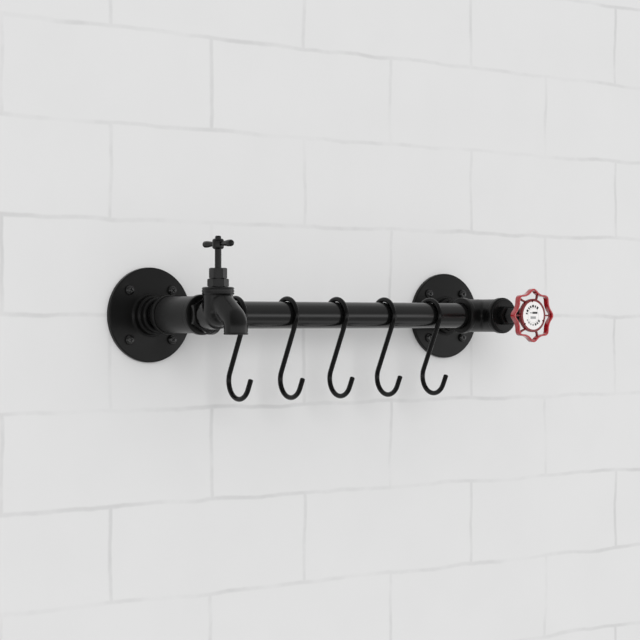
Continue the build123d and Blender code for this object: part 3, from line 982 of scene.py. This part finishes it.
@dataclass(frozen=True)
class WallEnd:
    """Flange, screws, nipple and tee at one end of the rail."""

    side: Side
    flange_steps: int = 128
    disc_t: float = 4.2
    back_round: float = 0.3
    rim_round: float = 1.0
    hub_base_r: float = 16.5
    hub_step_h: float = 11.0
    hub_top_r: float = 14.8
    hub_base_fillet: float = 2.5
    hub_round: float = 1.2
    hub_front_round: float = 2.0
    screw_circle_r: float = 29.4
    screw_hole_r: float = 2.55
    screw_turn: float = 25.0
    head_r: float = 4.25
    head_h: float = 2.8
    head_edge_round: float = 0.3
    head_dome_share: float = 0.82
    neck_r: float = 2.25
    thread_r: float = 2.1
    thread_depth: float = 0.28
    thread_pitch: float = 1.6
    screw_in_wall: float = 28.0
    point_l: float = 5.0
    recess_span: float = 3.4
    recess_w: float = 0.9
    recess_depth: float = 1.5
    recess_round: float = 0.12
    arm_r: float = 15.1
    bead_r: float = 16.4
    bead_w: float = 5.5
    bead_round: float = 1.1
    bead_gap: float = 0.01
    mouth_bevel: float = 0.5
    waterway_r: float = 9.0
    waterway_step: float = 0.01
    socket_depth: float = 14.0
    crotch: float = 4.5
    crotch_rounds: int = 16
    skin_grid: float = 0.6
    skin_rounds: int = 5

    @property
    def place(self) -> Matrix:
        """Frame on the wall at this end, whose Z points into the room."""
        return out_from_wall(node_middle(f"{self.side.word}_flange").x)

    def put(self, form: BMesh, piece: str, slot: str, node: str) -> Object:
        """Finishes a form of this end, whose word starts the names of the piece and of the node."""
        word = self.side.word
        return finished(moved(form, self.place), f"{word}_{piece}", "root", slot, f"{word}_{node}")

    def flange(self) -> Object:
        """Round flange with its stepped hub and four screw holes."""
        low, high = node_box(f"{self.side.word}_flange")
        edge_r = (high.x - low.x) / 2
        hub_h = high.y - low.y
        rounds = {1: self.back_round, 2: self.rim_round, 3: self.hub_base_fillet, 4: self.hub_round,
                  5: self.hub_round, 6: self.hub_front_round}
        profile = rounded(
            [(SOCKET_R, 0), (edge_r, 0), (edge_r, self.disc_t), (self.hub_base_r, self.disc_t),
             (self.hub_base_r, self.hub_step_h), (self.hub_top_r, self.hub_step_h), (self.hub_top_r, hub_h),
             (SOCKET_R + self.mouth_bevel, hub_h), (SOCKET_R, hub_h - self.mouth_bevel)], rounds)
        form = lathe(profile, self.flange_steps)
        holes = gathered(moved(bar(self.screw_hole_r, -SPARE, self.disc_t + SPARE, steps=32), spot)
                         for spot in self.screw_spots())
        return self.put(cut(form, holes), "flange_casting", "cast_black", "flange")

    def screw_spots(self) -> list[Matrix]:
        """Places of the four screws round the flange's middle."""
        out = Matrix.Translation((self.screw_circle_r, 0, 0))
        return [turned_about("Z", 45 + 90 * number) @ out for number in range(4)]

    def screws(self) -> Object:
        """The four screws, each turned a little differently."""
        forms = [moved(self.screw(), spot @ turned_about("Z", self.screw_turn * number))
                 for number, spot in enumerate(self.screw_spots())]
        return self.put(gathered(forms), "screws", "screw_black", "wall_screws")

    def screw(self) -> BMesh:
        """Screw with a domed head, a cross recess and a thread that winds to its point."""
        top = self.disc_t + self.head_h
        point = self.screw_in_wall - self.point_l
        root = self.thread_r - self.thread_depth
        head = lathe(rounded(
            [(0, -self.screw_in_wall), (root, -point), (root, 0), (self.neck_r, 0),
             (self.neck_r, self.disc_t), (self.head_r, self.disc_t), (self.head_r, top), (0, top)],
            {5: self.head_edge_round, 6: self.head_dome_share * self.head_h}, 8), SMALL_STEPS)
        for turn in (0, 90):
            arm = block((self.recess_span, self.recess_w, 2 * self.recess_depth),
                        (-self.recess_span / 2, -self.recess_w / 2, top - self.recess_depth),
                        self.recess_round)
            head = cut(head, moved(arm, turned_about("Z", turn)))
        ridge = screw_thread(root, self.thread_depth, self.thread_pitch, -point + SPARE,
                             (point - 2 * SPARE) / self.thread_pitch)
        return gathered([head, ridge])

    def nipple(self) -> Object:
        """Short pipe between the flange and the tee."""
        low, high = node_box(f"{self.side.word}_nipple")
        form = tube(PIPE_R, PIPE_R - PIPE_WALL, -high.y, -low.y)
        return self.put(form, "nipple_pipe", "pipe_black", "nipple")

    def arm_turns(self) -> list[Matrix]:
        """Turns that lay an upright arm along each of the tee's three directions, the branch last."""
        return [Matrix.Identity(4), turned_about("X", 180), turned_about("Y", -90 * self.side.value)]

    def tee(self) -> Object:
        """Cast tee with a rounded bead at each mouth."""
        low, high = node_box(f"{self.side.word}_tee")
        half = (high.y - low.y) / 2
        neck = half - self.bead_w / 2
        branch = moved(bar(self.arm_r, 0, neck), self.arm_turns()[-1])
        skin = cast(gathered([bar(self.arm_r, -neck, neck), branch]), self.skin_grid, self.skin_rounds)
        towards = -self.side.value

        def in_crotch(spot: Vector) -> bool:
            """Whether a place on the skin lies where the branch meets the run."""
            return spot.x * towards > 0 and abs(abs(spot.z) - spot.x * towards) < self.crotch

        smooth_near(skin, in_crotch, self.crotch_rounds)
        ways = gathered(moved(bar(self.waterway_r, -self.waterway_step * number, half), turn)
                        for number, turn in enumerate(self.arm_turns()))
        sockets = gathered(moved(bar(SOCKET_R, half - self.socket_depth, half), turn)
                           for turn in self.arm_turns())
        skin = cut(cut(skin, sockets), ways)
        inner = SOCKET_R + self.bead_gap
        bead = rounded([(inner, half - self.bead_w), (self.bead_r, half - self.bead_w), (self.bead_r, half),
                        (SOCKET_R + self.mouth_bevel, half), (inner, half - self.mouth_bevel)],
                       {1: self.bead_round, 2: self.bead_round})
        beads = [moved(lathe(bead, FINE_STEPS), turn) for turn in self.arm_turns()]
        form = moved(gathered([skin, *beads]), Matrix.Translation((0, 0, -(low.y + high.y) / 2)))
        return self.put(form, "tee_casting", "cast_black", "tee")

    def build(self) -> None:
        """Makes every piece of this end."""
        self.flange()
        self.screws()
        self.nipple()
        self.tee()


@dataclass(frozen=True)
class Rail:
    """The pipe between the two tees."""

    wall: float = PIPE_WALL

    def build(self) -> Object:
        """Makes the pipe."""
        low, high = node_box("rail_pipe")
        middle = node_middle("rail_pipe")
        form = tube(PIPE_R, PIPE_R - self.wall, low.x, high.x, FINE_STEPS)
        place = Matrix.Translation((0, middle.y, middle.z)) @ turned_about("Y", 90)
        return finished(moved(form, place), "rail_bar", "root", "pipe_black", "rail_pipe")


@dataclass(frozen=True)
class Hook:
    """One S hook, by its number along the rail."""

    number: int
    wire_r: float = 2.15
    loop_r: float = 14.1
    bend_r: float = 15.0
    shank: float = 47.0
    lean: float = 26.3
    tip: float = 9.3
    tip_round: float = 0.8
    hang_gap: float = 0.3

    def build(self) -> Object:
        """Makes the hook, from the tip behind the rail to the tip in front."""
        node = f"hook_{self.number}"
        rail = node_middle("rail_pipe")
        lean = math.radians(self.lean)
        across = Vector((math.cos(lean), math.sin(lean)))
        down = Vector((math.sin(lean), -math.cos(lean)))
        centre = Vector((rail.y, rail.z - (self.loop_r - self.wire_r - PIPE_R - self.hang_gap)))
        start = centre + across * self.loop_r + down * self.tip
        end = Run(self.tip)
        moves = [end, Bend(self.loop_r, 180), Run(self.shank), Bend(self.bend_r, -180), end]
        form = bent_bar(self.wire_r, (start.x, start.y), 90 + self.lean, moves, self.tip_round)
        place = Matrix.Translation((node_middle(node).x, 0, 0))
        return finished(moved(form, place), f"{node}_wire", node, "hook_black", node)


@dataclass(frozen=True)
class Tap:
    """The bib tap in front of the left tee."""

    barrel_r: float = 11.8
    barrel_back: float = 91.2
    bulb_r: float = 12.4
    bulb_z: float = 2.4
    neck_r: float = 12.0
    collar_r: float = 12.9
    collar_low: float = 15.7
    collar_top: float = 22.0
    collar_round: float = 1.4
    groove_w: float = 0.9
    groove_depth: float = 0.45
    groove_slant: float = 0.15
    groove_gap: float = 2.25
    spout_r: float = 9.5
    spout_slope: float = 36.0
    spout_root: float = 3.0
    spout_bend_r: float = 10.0
    spout_bend_z: float = -5.0
    lip_r: float = 9.6
    lip_h: float = 1.6
    lip_low_round: float = 0.4
    lip_top_round: float = 0.6
    lip_groove: float = 0.3
    lip_groove_span: tuple[float, float] = (-0.2, 0.5)
    mouth_bore_r: float = 6.6
    passage_r: float = 4.7
    passage_start: tuple[float, float] = (-7.15, 8.6)
    inlet_bore_r: float = 5.0
    inlet_bore_z: float = -3.2
    inlet_bore_end: float = -3.8
    inlet_wall: float = 2.0
    seat_r: float = 3.6
    seat_z: float = 3.8
    chamber_r: float = 8.2
    bonnet_thread_r: float = 8.9
    bonnet_bore_r: float = 5.0
    bonnet_hex: float = 15.0
    bonnet_hex_h: float = 6.7
    bonnet_hex_bore_r: float = 4.85
    bonnet_neck_r: float = 4.9
    bonnet_neck_bore_r: float = 3.95
    gland_hex: float = 12.6
    gland_bore_r: float = 4.95
    gland_top_t: float = 1.6
    stem_bore_r: float = 2.7
    hub_r: float = 4.7
    hub_round: float = 2.0
    hub_low_bore_r: float = 1.8
    hub_top_bore_r: float = 1.15
    arm_start: float = 2.0
    arm_root_r: float = 1.5
    arm_end_r: float = 2.7
    arm_ball: float = 5.4
    arm_rise: float = 4.4
    arm_swell_round: float = 3.0
    arm_end_round: float = 2.4
    cap_shank_r: float = 1.1
    cap_low_round: float = 0.15
    cap_top_round: float = 1.2
    cap_slot_w: float = 0.6
    cap_slot_depth: float = 0.6
    joint_back: float = -14.0
    joint_low: float = -8.0
    joint_top_gap: float = 2.0
    joint_rounds: int = 24
    skin_grid: float = 0.5
    skin_rounds: int = 8

    @property
    def stem(self) -> Matrix:
        """Frame on the stem's axis at the height of the rail."""
        middle = node_middle("tap_spindle")
        return Matrix.Translation((middle.x, middle.y, 0))

    def lock_nut(self) -> Object:
        """Hexagon nut that holds the tap against the tee."""
        low, high = node_box("tap_lock_nut")
        form = hexagon(high.x - low.x, -high.y, -low.y, 30)
        form = cut(form, bar(SOCKET_R, -high.y - SPARE, -low.y + SPARE))
        place = out_from_wall(node_middle("tap_lock_nut").x)
        return finished(moved(form, place), "tap_back_nut", "root", "tap_black", "tap_lock_nut")

    @property
    def mouth_y(self) -> float:
        """Place of the mouth's middle, about the stem."""
        low, _ = node_box("tap_body")
        return low.y + self.lip_r - node_middle("tap_spindle").y

    def spout(self) -> BMesh:
        """Bent bar about the stem, down the slope and round a bend to the mouth."""
        low, _ = node_box("tap_body")
        slope = math.radians(self.spout_slope)
        reach = -self.mouth_y - self.spout_root
        tangent = self.spout_bend_r * math.tan((math.pi / 2 - slope) / 2)
        moves = [Run(reach / math.cos(slope) - tangent), Bend(self.spout_bend_r, 90 - self.spout_slope),
                 Run(self.spout_bend_z - tangent - low.z)]
        start = (-self.spout_root, self.spout_bend_z + reach * math.tan(slope))
        return bent_bar(self.spout_r, start, 180 + self.spout_slope, moves, steps=64)

    def spout_bore(self) -> tuple[BMesh, BMesh]:
        """Sloping passage from the chamber, and the upright bore of the mouth that it runs into."""
        low, _ = node_box("tap_body")
        start_y, start_z = self.passage_start
        length = (start_y - self.mouth_y) / math.cos(math.radians(self.spout_slope))
        passage = moved(bar(self.passage_r, 0, length), turned_about("X", 90 + self.spout_slope))
        mouth = bar(self.mouth_bore_r, low.z - SPARE, self.spout_bend_z)
        return (moved(passage, Matrix.Translation((0, start_y, start_z))),
                moved(mouth, Matrix.Translation((0, self.mouth_y, 0))))

    def body(self) -> Object:
        """Cast body: barrel, bulb, neck and bent spout run into one skin, then bored."""
        low, high = node_box("tap_body")
        stem = node_middle("tap_spindle")
        mouth = Matrix.Translation((0, self.mouth_y, 0))
        towards_wall = turned_about("X", -90)
        barrel = moved(bar(self.barrel_r, 0, -stem.y - self.barrel_back), towards_wall)
        bulb = bmesh.new()
        bmesh.ops.create_uvsphere(bulb, u_segments=64, v_segments=32, radius=self.bulb_r)
        moved(bulb, Matrix.Translation((0, 0, self.bulb_z)))
        neck = bar(self.neck_r, self.bulb_z, self.collar_low + SPARE)
        skin = cast(gathered([barrel, bulb, neck, self.spout()]), self.skin_grid, self.skin_rounds)

        def in_joint(spot: Vector) -> bool:
            """Whether a place on the skin lies where barrel, bulb and neck meet."""
            return spot.y > self.joint_back and self.joint_low < spot.z < self.collar_low - self.joint_top_gap

        smooth_near(skin, in_joint, self.joint_rounds)
        lip_top = low.z + self.lip_h
        lip = lathe(rounded([(self.mouth_bore_r, low.z), (self.lip_r, low.z), (self.lip_r, lip_top),
                             (self.mouth_bore_r, lip_top)], {1: self.lip_low_round, 2: self.lip_top_round}))
        collar = self.collar()
        inlet = moved(tube(PIPE_R, self.inlet_bore_r + self.inlet_wall, 0, high.y - stem.y), towards_wall)
        groove_low, groove_top = self.lip_groove_span
        lip_groove = tube(self.lip_r + SPARE, self.spout_r - self.lip_groove, lip_top + groove_low,
                          lip_top + groove_top)
        for tool in (moved(lip_groove, mouth), *self.spout_bore()):
            skin = cut(skin, tool)
        skin = cut(skin, bar(self.chamber_r, self.seat_z, self.collar_top))
        skin = cut(skin, bar(self.seat_r, self.inlet_bore_z, self.seat_z + SPARE))
        passage = moved(bar(self.inlet_bore_r, self.inlet_bore_end, high.y - stem.y + SPARE), towards_wall)
        skin = cut(skin, moved(passage, Matrix.Translation((0, 0, self.inlet_bore_z))))
        form = moved(gathered([skin, moved(lip, mouth), collar, inlet]), self.stem)
        return finished(form, "tap_casting", "root", "tap_black", "tap_body")

    def collar(self) -> BMesh:
        """Round collar with its fine grooves."""
        middle = (self.collar_low + self.collar_top) / 2
        profile = [(self.bonnet_thread_r, self.collar_low), (self.collar_r, self.collar_low)]
        deep = self.collar_r - self.groove_depth
        for centre in (middle - self.groove_gap / 2, middle + self.groove_gap / 2):
            low, high = centre - self.groove_w / 2, centre + self.groove_w / 2
            profile += [(self.collar_r, low), (deep, low + self.groove_slant),
                        (deep, high - self.groove_slant), (self.collar_r, high)]
        profile += [(self.collar_r, self.collar_top), (self.bonnet_thread_r, self.collar_top)]
        rounds = {1: self.collar_round, len(profile) - 2: self.collar_round}
        return lathe(rounded(profile, rounds), FINE_STEPS)

    def bonnet(self) -> Object:
        """Bonnet with its thread, hexagon and neck."""
        low, high = node_box("tap_bonnet")
        top = self.collar_top + self.bonnet_hex_h
        thread = tube(self.bonnet_thread_r, self.bonnet_bore_r, low.z, self.collar_top)
        neck = tube(self.bonnet_neck_r, self.bonnet_neck_bore_r, top - SPARE, high.z)
        nut = cut(hexagon(self.bonnet_hex, self.collar_top, top, 30),
                  bar(self.bonnet_hex_bore_r, self.collar_top - SPARE, top + SPARE))
        form = moved(gathered([thread, neck, nut]), self.stem)
        return finished(form, "tap_bonnet_hexagon", "root", "tap_black", "tap_bonnet")

    def gland_nut(self) -> Object:
        """Gland nut round the stem."""
        low, high = node_box("tap_gland_nut")
        form = cut(hexagon(self.gland_hex, low.z, high.z, 30),
                   bar(self.gland_bore_r, low.z - SPARE, high.z - self.gland_top_t))
        form = cut(form, bar(self.stem_bore_r, high.z - 2 * SPARE, high.z + SPARE))
        return finished(moved(form, self.stem), "tap_gland_hexagon", "root", "tap_black", "tap_gland_nut")

    def handle(self) -> Object:
        """Bar handle with a round hub and two arms that swell to their ends."""
        low, high = node_box("tap_handle")
        half = (high.y - low.y) / 2
        hub = lathe(rounded([(self.hub_low_bore_r, low.z), (self.hub_r, low.z), (self.hub_r, high.z),
                             (self.hub_top_bore_r, high.z)], {1: self.hub_round, 2: self.hub_round}, 10))
        arm = rounded([(0, self.arm_start), (self.arm_root_r, self.arm_start), (self.arm_root_r, self.hub_r),
                       (self.arm_end_r, half - self.arm_ball), (self.arm_end_r, half), (0, half)],
                      {3: self.arm_swell_round, 4: self.arm_end_round}, 10)
        rise = Matrix.Translation((0, 0, low.z + self.arm_rise))
        arms = [moved(lathe(arm, SMALL_STEPS), rise @ turned_about("X", turn)) for turn in (90, -90)]
        form = moved(gathered([hub, *arms]), self.stem)
        return finished(form, "tap_bar_handle", "tap_spindle", "tap_black", "tap_handle")

    def cap_screw(self) -> Object:
        """Domed screw on top of the handle."""
        low, high = node_box("tap_cap_screw")
        _, handle_top = node_box("tap_handle")
        radius = (high.x - low.x) / 2
        form = lathe(rounded([(0, low.z), (self.cap_shank_r, low.z), (self.cap_shank_r, handle_top.z),
                              (radius, handle_top.z), (radius, high.z), (0, high.z)],
                             {3: self.cap_low_round, 4: self.cap_top_round}, 8), 48)
        slot = block((2 * radius + SPARE, self.cap_slot_w, SPARE),
                     (-radius - SPARE / 2, -self.cap_slot_w / 2, high.z - self.cap_slot_depth))
        form = moved(cut(form, slot), self.stem)
        return finished(form, "tap_cap", "tap_spindle", "tap_black", "tap_cap_screw")

    def build(self) -> None:
        """Makes every visible piece of the tap."""
        self.lock_nut()
        self.body()
        self.bonnet()
        self.gland_nut()
        self.handle()
        self.cap_screw()


@dataclass(frozen=True)
class ValveEnd:
    """The plug and the gland nut in front of the right tee."""

    rim_r: float = 15.1
    rim_t: float = 1.5
    rim_back_round: float = 0.2
    rim_front_round: float = 1.1
    hexagon_af: float = 16.5
    hexagon_h: float = 6.8
    hexagon_bore_r: float = 4.3
    neck_r: float = 5.2
    gland_af: float = 13.0
    gland_hexagon_h: float = 10.2
    gland_gap: float = 0.05
    nose_r: float = 5.0
    nose_round: float = 0.5
    stem_bore_r: float = 3.05

    @property
    def place(self) -> Matrix:
        """Frame on the wall at the right end."""
        return out_from_wall(node_middle("valve_plug").x)

    def plug(self) -> Object:
        """Plug with a thin rim, a hexagon and a neck."""
        low, high = node_box("valve_plug")
        tee_low, _ = node_box("right_tee")
        seat = -tee_low.y
        rim_front = seat + self.rim_t
        front = rim_front + self.hexagon_h
        profile = [(self.stem_bore_r, -high.y), (PIPE_R, -high.y), (PIPE_R, seat), (self.rim_r, seat),
                   (self.rim_r, rim_front), (self.neck_r, rim_front), (self.neck_r, -low.y),
                   (self.stem_bore_r, -low.y)]
        rounds = {3: self.rim_back_round, 4: self.rim_front_round}
        stem = lathe(rounded(profile, rounds), FINE_STEPS)
        nut = cut(hexagon(self.hexagon_af, rim_front, front), bar(self.hexagon_bore_r, seat, front + SPARE))
        form = moved(gathered([stem, nut]), self.place)
        return finished(form, "valve_plug_hexagon", "root", "spindle_black", "valve_plug")

    def gland_nut(self) -> Object:
        """Gland nut, hexagonal behind and conical in front."""
        low, high = node_box("valve_gland_nut")
        shoulder = -high.y + self.gland_hexagon_h
        nut = cut(hexagon(self.gland_af, -high.y, shoulder),
                  bar(self.neck_r + self.gland_gap, -high.y - SPARE, shoulder - SPARE))
        cone = lathe(rounded([(self.stem_bore_r, shoulder - SPARE), (self.gland_af / 2, shoulder - SPARE),
                              (self.gland_af / 2, shoulder), (self.nose_r, -low.y),
                              (self.stem_bore_r, -low.y)], {3: self.nose_round}))
        form = moved(gathered([nut, cone]), self.place)
        return finished(form, "valve_gland_hexagon", "root", "spindle_black", "valve_gland_nut")

    def build(self) -> None:
        """Makes both pieces."""
        self.plug()
        self.gland_nut()


@dataclass(frozen=True)
class Spoke:
    """One thin spoke: its angles at dish and rim in degrees, and how far it bows in millimetres."""

    root: float
    tip: float
    bow: float = 0.0


@dataclass(frozen=True)
class Wheel:
    """The red handwheel with its white plate."""

    lobes: int = 8
    points_per_lobe: int = 24
    tip_r: float = 24.1
    valley_r: float = 21.0
    tip_share: float = 1.35
    rim_wall: float = 1.7
    rim_depth: float = 5.5
    rim_edge: float = 0.5
    dish_r: float = 15.0
    dish_back_round: float = 1.0
    dish_front_round: float = 0.5
    dish_wall: float = 1.8
    dish_set: float = 0.6
    dish_h: float = 3.9
    floor_t: float = 1.2
    ledge_w: float = 0.9
    lip_reach: float = 0.5
    lip_t: float = 0.08
    plate_drop: float = 0.1
    plate_t: float = 0.4
    plate_round: float = 0.15
    boss_r: float = 5.6
    boss_h: float = 7.0
    boss_sink: float = 0.2
    boss_round: float = 0.5
    square: float = 4.5
    tab_w: float = 1.6
    tab_reach: float = 1.3
    tab_t: float = 0.35
    tab_sink: float = 0.25
    tab_round: float = 0.12
    tab_angles: tuple[float, ...] = (96, 216, -22)
    spoke_w: float = 1.4
    spoke_t: float = 2.2
    spoke_set: float = 1.4
    spoke_parts: int = 8
    spokes: tuple[Spoke, ...] = (Spoke(0, 0), Spoke(73, 73, -0.8), Spoke(120, 135, 0.9), Spoke(180, 180),
                                 Spoke(-120, -135, -0.9), Spoke(-73, -73, 0.8))

    @property
    def place(self) -> Matrix:
        """Frame on the wheel's axis, its Z into the room and its zero at the back of the rim."""
        low, _ = node_box("handwheel")
        return out_from_wall(node_middle("handwheel").x) @ Matrix.Translation((0, 0, -low.y - self.rim_depth))

    def outline(self) -> list[tuple[float, float]]:
        """Points of the rim's outline, which swings smoothly between round tips and hollow valleys."""
        count = self.lobes * self.points_per_lobe
        points = []
        for number in range(count):
            angle = math.tau * number / count
            swing = (math.cos(self.lobes * angle) + 1) / 2
            radius = self.valley_r + (self.tip_r - self.valley_r) * swing ** self.tip_share
            points.append((radius * math.cos(angle), radius * math.sin(angle)))
        return points

    def rim(self) -> BMesh:
        """Lobed band with rounded edges."""
        form = bmesh.new()
        verts = [form.verts.new((x, y, 0)) for x, y in self.outline()]
        loop = [form.edges.new(pair) for pair in zip(verts, verts[1:] + verts[:1])]
        raised = bmesh.ops.extrude_edge_only(form, edges=loop)["geom"]
        shift(form, raised, (0, 0, self.rim_depth))
        bmesh.ops.recalc_face_normals(form, faces=form.faces)
        first = form.faces[:][0]
        if first.normal.dot(first.calc_center_median()) < 0:
            bmesh.ops.reverse_faces(form, faces=form.faces)

        def dress(holder: Object) -> None:
            """Gives the band its wall on the inside."""
            modifier = holder.modifiers.new("wall", "SOLIDIFY")
            modifier.thickness = self.rim_wall
            modifier.offset = -1.0
            modifier.use_even_offset = True

        return soften(changed(form, dress), self.rim_edge, 3, 50)

    def spoke(self, spoke: Spoke) -> BMesh:
        """Thin strip from the dish to the rim, bowed a little.

        Args:
            spoke: its angles and its bow.

        Returns:
            The strip.
        """
        root_r = self.dish_r - self.dish_wall / 2
        on_tip = spoke.tip % (360 / self.lobes) == 0
        tip_r = (self.tip_r if on_tip else self.valley_r) - self.rim_wall / 2
        root = Matrix.Rotation(math.radians(spoke.root), 2) @ Vector((root_r, 0))
        tip = Matrix.Rotation(math.radians(spoke.tip), 2) @ Vector((tip_r, 0))
        side = Vector((root.y - tip.y, tip.x - root.x)).normalized()
        shares = [part / self.spoke_parts for part in range(self.spoke_parts + 1)]
        spots = [root.lerp(tip, share) + side * spoke.bow * math.sin(math.pi * share) for share in shares]
        return strip(spots, self.spoke_w, self.spoke_set, self.spoke_set + self.spoke_t)

    def dish(self) -> BMesh:
        """Shallow dish with the ledge under the plate, its boss behind and the tabs over the plate."""
        back, front = self.dish_set, self.dish_set + self.dish_h
        floor, ledge = back + self.floor_t, front - self.plate_drop - self.plate_t
        inner = self.dish_r - self.dish_wall
        lip = inner - self.lip_reach
        under_lip, floor_r = front - self.lip_t, inner - self.ledge_w
        profile = [(0, back), (self.dish_r, back), (self.dish_r, front), (lip, front), (lip, under_lip),
                   (inner, under_lip), (inner, ledge), (floor_r, ledge), (floor_r, floor), (0, floor)]
        body = lathe(rounded(profile, {1: self.dish_back_round, 2: self.dish_front_round}), FINE_STEPS)
        boss = bar(self.boss_r, back - self.boss_h, back + self.boss_sink, self.boss_round)
        half, reach = self.square / 2, 2 * self.boss_h
        holed = [cut(form, block((self.square, self.square, 2 * reach), (-half, -half, -reach)))
                 for form in (body, boss)]
        tabs = []
        for angle in self.tab_angles:
            corner = (inner - self.tab_reach, -self.tab_w / 2, front - self.plate_drop - self.tab_sink)
            tab = block((self.tab_reach + self.dish_wall / 2, self.tab_w, self.tab_t), corner, self.tab_round)
            tabs.append(moved(tab, turned_about("Z", angle)))
        return gathered([*holed, *tabs])

    def plate(self) -> Object:
        """White plate in the dish."""
        low, high = node_box("wheel_plate")
        radius = (high.x - low.x) / 2
        front = self.dish_set + self.dish_h - self.plate_drop
        back = front - self.plate_t
        form = lathe(rounded([(0, back), (radius, back), (radius, front), (0, front)],
                             {2: self.plate_round}, 4), FINE_STEPS)
        return finished(moved(form, self.place), "wheel_face", "handwheel", "plate_white", "wheel_plate")

    def build(self) -> None:
        """Makes the wheel, its plate and the plate's marks."""
        finished(moved(self.rim(), self.place), "wheel_rim", "handwheel", "wheel_red", "handwheel")
        # The dish and spokes take the darker copy of the red enamel, which paints shade on them.
        middle = gathered([self.dish(), *[self.spoke(spoke) for spoke in self.spokes]])
        finished(moved(middle, self.place), "wheel_middle", "handwheel", "wheel_red", "handwheel",
                 finish=SHADED_RED_ENAMEL)
        self.plate()
        PlateMarks(self).build()


@dataclass(frozen=True)
class PlateMarks:
    """Generic dark marks on the plate: two arcs of small blocks, two bars and a faint ring."""

    wheel: Wheel
    arc_r: float = 8.4
    mark_h: float = 0.05
    mark_sink: float = 0.01
    ring_r: tuple[float, float] = (6.4, 6.55)
    black_bar: tuple[tuple[float, float], ...] = ((6.0, 1.8), (-1.2, 1.5))
    grey_bars: tuple[tuple[tuple[float, float], ...], ...] = (
        ((6.6, 2.2), (-3.6, -3.0)), ((3.0, 1.0), (-4.4, 1.9)))
    top_arc: tuple[tuple[float, float, float], ...] = (
        (168, 1.4, 2.2), (150, 2.1, 2.4), (131, 1.5, 2.2), (114, 1.9, 2.0), (93, 2.4, 2.3),
        (73, 1.6, 2.0), (54, 2.0, 2.4))
    bottom_arc: tuple[tuple[float, float, float], ...] = (
        (-36, 1.9, 2.4), (-54, 1.5, 2.3), (-71, 1.9, 2.1))
    grey_arc: tuple[tuple[float, float, float], ...] = (
        (-92, 2.2, 1.8), (-112, 1.8, 1.8), (-131, 2.2, 2.0), (-150, 1.6, 1.6))

    def block_at(self, radius: float, angle: float, width: float, height: float) -> BMesh:
        """Small upright block whose middle lies at a radius and an angle."""
        form = block((height, width, self.mark_h), (radius - height / 2, -width / 2, 0))
        return moved(form, turned_about("Z", angle))

    def bar_at(self, size: tuple[float, float], corner: tuple[float, float]) -> BMesh:
        """Flat bar of a size, from its lowest corner."""
        return block((*size, self.mark_h), (*corner, 0))

    def build(self) -> None:
        """Makes the black marks and the grey ones."""
        wheel = self.wheel
        front = wheel.dish_set + wheel.dish_h - wheel.plate_drop
        face = wheel.place @ Matrix.Translation((0, 0, front - self.mark_sink))
        black = [self.block_at(self.arc_r, *mark) for mark in (*self.top_arc, *self.bottom_arc)]
        black.append(self.bar_at(*self.black_bar))
        grey = [self.block_at(self.arc_r, *mark) for mark in self.grey_arc]
        grey += [self.bar_at(*place) for place in self.grey_bars]
        inner, outer = self.ring_r
        grey.append(lathe([(inner, 0), (outer, 0), (outer, self.mark_h), (inner, self.mark_h)], 64))
        for shade, forms, finish in (("black", black, MARK_BLACK), ("grey", grey, MARK_GREY)):
            finished(moved(gathered(forms), face), f"plate_marks_{shade}", "handwheel", "plate_white",
                     "wheel_plate", finish=finish)


def main() -> None:
    """Builds the studio and every piece in order."""
    logging.basicConfig(level=logging.INFO, format="%(name)s: %(message)s")
    dress_frame_nodes()
    Studio().build()
    for side in Side:
        WallEnd(side).build()
    Rail().build()
    Tap().build()
    ValveEnd().build()
    Wheel().build()
    for number in range(1, HOOK_COUNT + 1):
        Hook(number).build()


if __name__ == "__main__":
    main()
